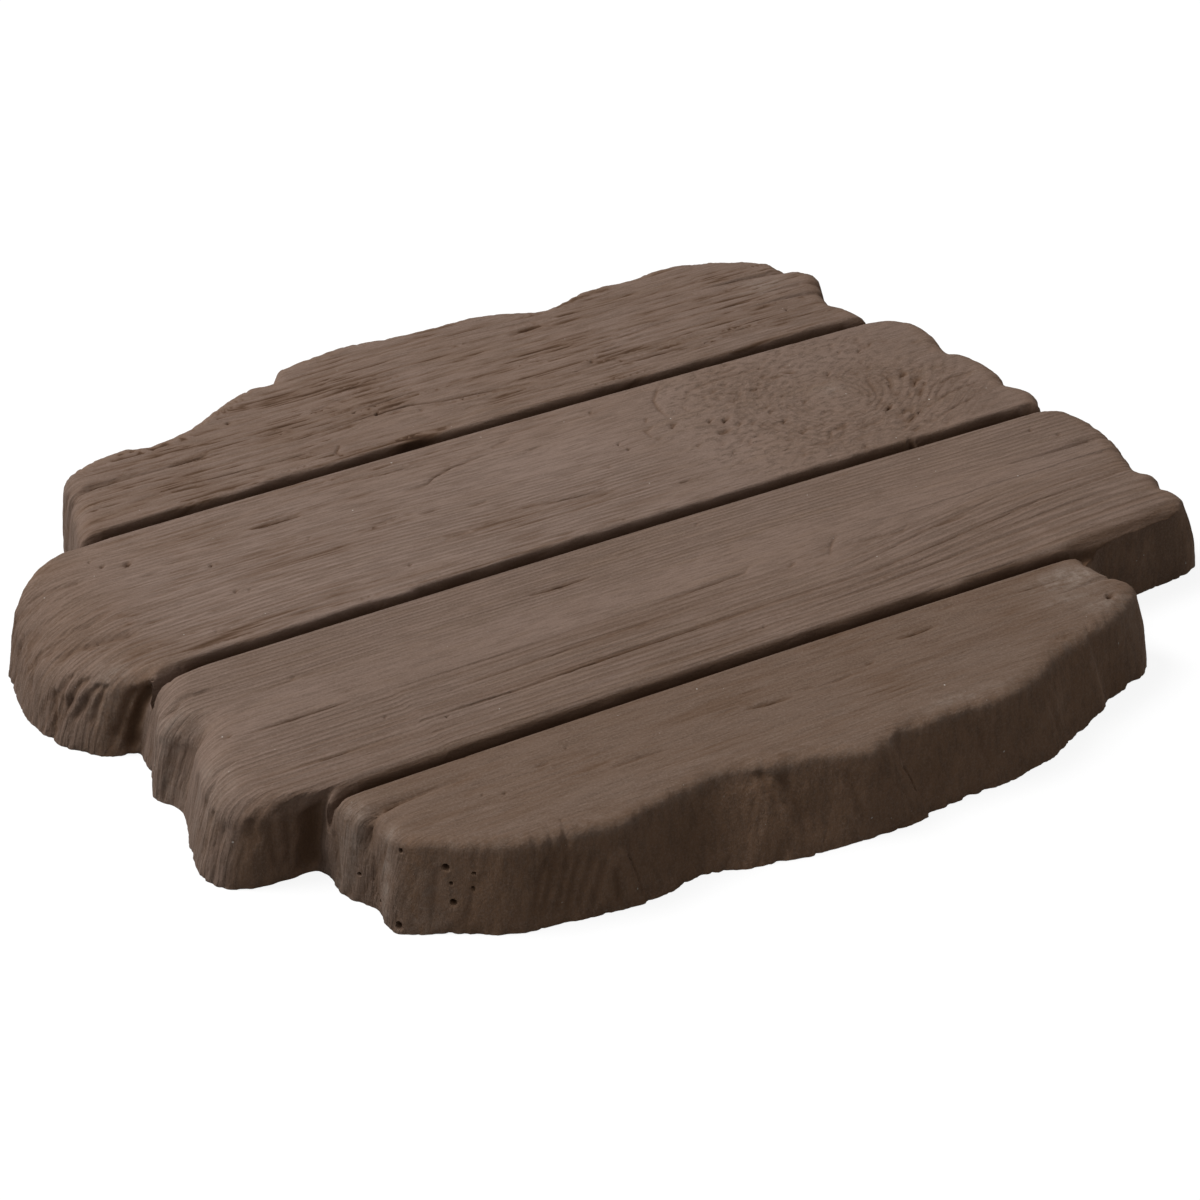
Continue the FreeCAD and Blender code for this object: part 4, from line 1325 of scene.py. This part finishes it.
def concrete_material():
    """Brown concrete, coloured through: mottled, darker along its grain and with shade painted in every hollow,
    dusty where it is pale.
    """
    material = bpy.data.materials.new("brown_concrete")
    material.use_nodes = True
    shader = material.node_tree.nodes["Principled BSDF"]
    kit = NodeKit(material.node_tree)
    place = kit.add("TexCoord", output="Object")
    grain = kit.mark("grain", "Vector")
    slow = kit.mapped(grain, (0.12, 0.10, 0.1))
    lines = surface_lines(kit, place, grain, slow)
    sand = kit.noise(place, 1000.0, 3.0, 0.65)
    tone, grain_and_shade = kit.mark("tone"), kit.mark("grain_and_shade")
    dust = kit.ramp(kit.noise(place, 200.0, 4.0, 0.75), 0.35, 0.65)
    layers = [
        (kit.ramp(kit.noise(place, 24.0, 5.0, 0.6), 0.3, 0.7), body_light),
        (kit.times(kit.ramp(kit.noise(slow, 2.2, 3.0, 0.6), 0.50, 0.72), 0.45), ochre),
        (kit.times(kit.ramp(kit.noise(place, 9.0, 3.0), 0.45, 0.75), 0.5), ruddy),
        (kit.ramp(tone, 0.5, 0.0), tone_dark),
        (kit.ramp(tone, 0.5, 1.0), tone_light),
        # painted shade: a warmer brown on the walls turned away from the lamp
        (kit.times(kit.mark("streaks_and_shade"), 0.75), shaded_wall_brown),
        (kit.times(kit.ramp(lines, 0.56, 0.36), 0.44), line_brown),
        (kit.times(kit.ramp(sand, 0.45, 0.75), 0.42), sand_grey),
        (kit.ramp(kit.noise(place, 420.0, 1.0), 0.80, 0.84), speck_white),
        (kit.times(kit.mark("pale"), dust), dust_grey),
        # painted shade, with the darker grain: warm brown, then near black where the mark is darkest
        (kit.times(kit.ramp(grain_and_shade, 0.0, 0.6), 0.8), grain_and_shade_brown),
        (kit.times(kit.ramp(grain_and_shade, 0.35, 1.0), 0.80), grain_and_shade_black),
    ]
    colour = (*body_dark, 1.0)
    for factor, layer in layers:
        colour = kit.tint(factor, colour, layer)
    kit.join(colour, shader.inputs["Base Color"])
    relief = kit.math("ADD", lines, kit.times(sand, 0.35))
    bump = kit.add("Bump", {"Strength": bump_strength, "Distance": bump_distance, "Height": relief})
    kit.join(bump, shader.inputs["Normal"])
    kit.join(kit.ramp(kit.noise(place, 60.0, 3.0), 0.3, 0.7, *roughness_range), shader.inputs["Roughness"])
    shader.inputs["Specular IOR Level"].default_value = shine
    return material


# Stage: floor, light and camera

floor_size = 8.0            # metres
floor_gap = 0.0002          # between the floor and the stone's underside
floor_albedo = 0.17
floor_glow = 0.88           # what a view of the floor adds to its lit colour, so that it reads as white
white = (1.0, 1.0, 1.0, 1.0)
sky_dim = 0.04              # light from the darkest and the brightest part of the surroundings
sky_bright = 0.42
sky_darkest_at = -0.6       # cosine of the angle from the light's heading
light_heading = Vector((-0.44, 0.30, 0.85)).normalized()
lamp_distance = 3.0
lamp_size = 1.3
lamp_power = 70.5

camera_place = (-619.57, -1079.76, 793.33)   # plan millimetres
camera_pitch = 32.0                          # degrees below level
camera_heading = -30.834                     # degrees, turned from +Y
photo_width = 1200.0                         # pixels
focal_length = 3472.73                       # pixels
sensor_width = 36.0


def seen_directly(kit):
    """1 for rays whose surroundings should read as white: a view, a reflection or a refraction."""
    path = kit.add("LightPath").node
    seen = path.outputs["Is Camera Ray"]
    for name in ("Is Glossy Ray", "Is Transmission Ray"):
        seen = kit.math("MAXIMUM", seen, path.outputs[name])
    return seen


def make_floor():
    half = floor_size / 2.0
    mesh = bpy.data.meshes.new("floor")
    mesh.from_pydata([(-half, -half, 0), (half, -half, 0), (half, half, 0), (-half, half, 0)], [], [(0, 1, 2, 3)])
    floor = bpy.data.objects.new("floor", mesh)
    floor.location.z = -floor_gap
    bpy.context.scene.collection.objects.link(floor)
    material = bpy.data.materials.new("pale_floor")
    material.use_nodes = True
    nodes = material.node_tree.nodes
    nodes.remove(nodes["Principled BSDF"])
    kit = NodeKit(material.node_tree)
    lit = kit.add("BsdfDiffuse", {"Color": (floor_albedo, floor_albedo, floor_albedo, 1.0)})
    glow = kit.add("Emission", {"Strength": kit.times(seen_directly(kit), floor_glow)})
    kit.join(kit.add("AddShader", {0: lit, 1: glow}), nodes["Material Output"].inputs["Surface"])
    mesh.materials.append(material)


def make_light():
    world = bpy.data.worlds.new("studio")
    world.use_nodes = True
    bpy.context.scene.world = world
    kit = NodeKit(world.node_tree)
    direction = kit.add("TexCoord", output="Generated")
    towards = kit.add("VectorMath", {0: direction, 1: light_heading}, "Value", operation="DOT_PRODUCT")
    level = kit.ramp(towards, sky_darkest_at, 1.0, sky_dim, sky_bright)
    sky = kit.add("Background", {"Color": white, "Strength": level})
    backdrop = kit.add("Background", {"Color": white, "Strength": 1.0})
    both = kit.add("MixShader", {0: seen_directly(kit), 1: sky, 2: backdrop})
    kit.join(both, world.node_tree.nodes["World Output"].inputs["Surface"])

    data = bpy.data.lights.new("softbox", "AREA")
    data.shape = "SQUARE"
    data.size = lamp_size
    data.energy = lamp_power
    lamp = bpy.data.objects.new("softbox", data)
    lamp.location = light_heading * lamp_distance
    lamp.rotation_euler = (-light_heading).to_track_quat("-Z", "Y").to_euler()
    bpy.context.scene.collection.objects.link(lamp)


def make_camera(shift):
    data = bpy.data.cameras.new("camera")
    data.sensor_width = sensor_width
    data.lens = focal_length / photo_width * sensor_width
    camera = bpy.data.objects.new("camera", data)
    camera.location = Vector((np.array(camera_place) - shift) / 1000.0)
    camera.rotation_euler = (math.radians(90.0 - camera_pitch), 0.0, math.radians(camera_heading))
    bpy.context.scene.collection.objects.link(camera)
    bpy.context.scene.camera = camera


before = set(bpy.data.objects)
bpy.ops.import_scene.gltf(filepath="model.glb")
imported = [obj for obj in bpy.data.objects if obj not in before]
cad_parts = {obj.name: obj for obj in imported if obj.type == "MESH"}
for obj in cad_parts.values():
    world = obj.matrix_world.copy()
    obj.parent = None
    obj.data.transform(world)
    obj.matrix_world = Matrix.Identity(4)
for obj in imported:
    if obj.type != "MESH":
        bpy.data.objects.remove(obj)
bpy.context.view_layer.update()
low_corner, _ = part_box("stepping_stone")
shift = plan_shift(low_corner)
bpy.context.scene.view_settings.view_transform = "Standard"

stone = make_stone(shift)
stone.data.materials.append(concrete_material())
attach(stone, "root")
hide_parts("stepping_stone")

make_floor()
make_light()
make_camera(shift)
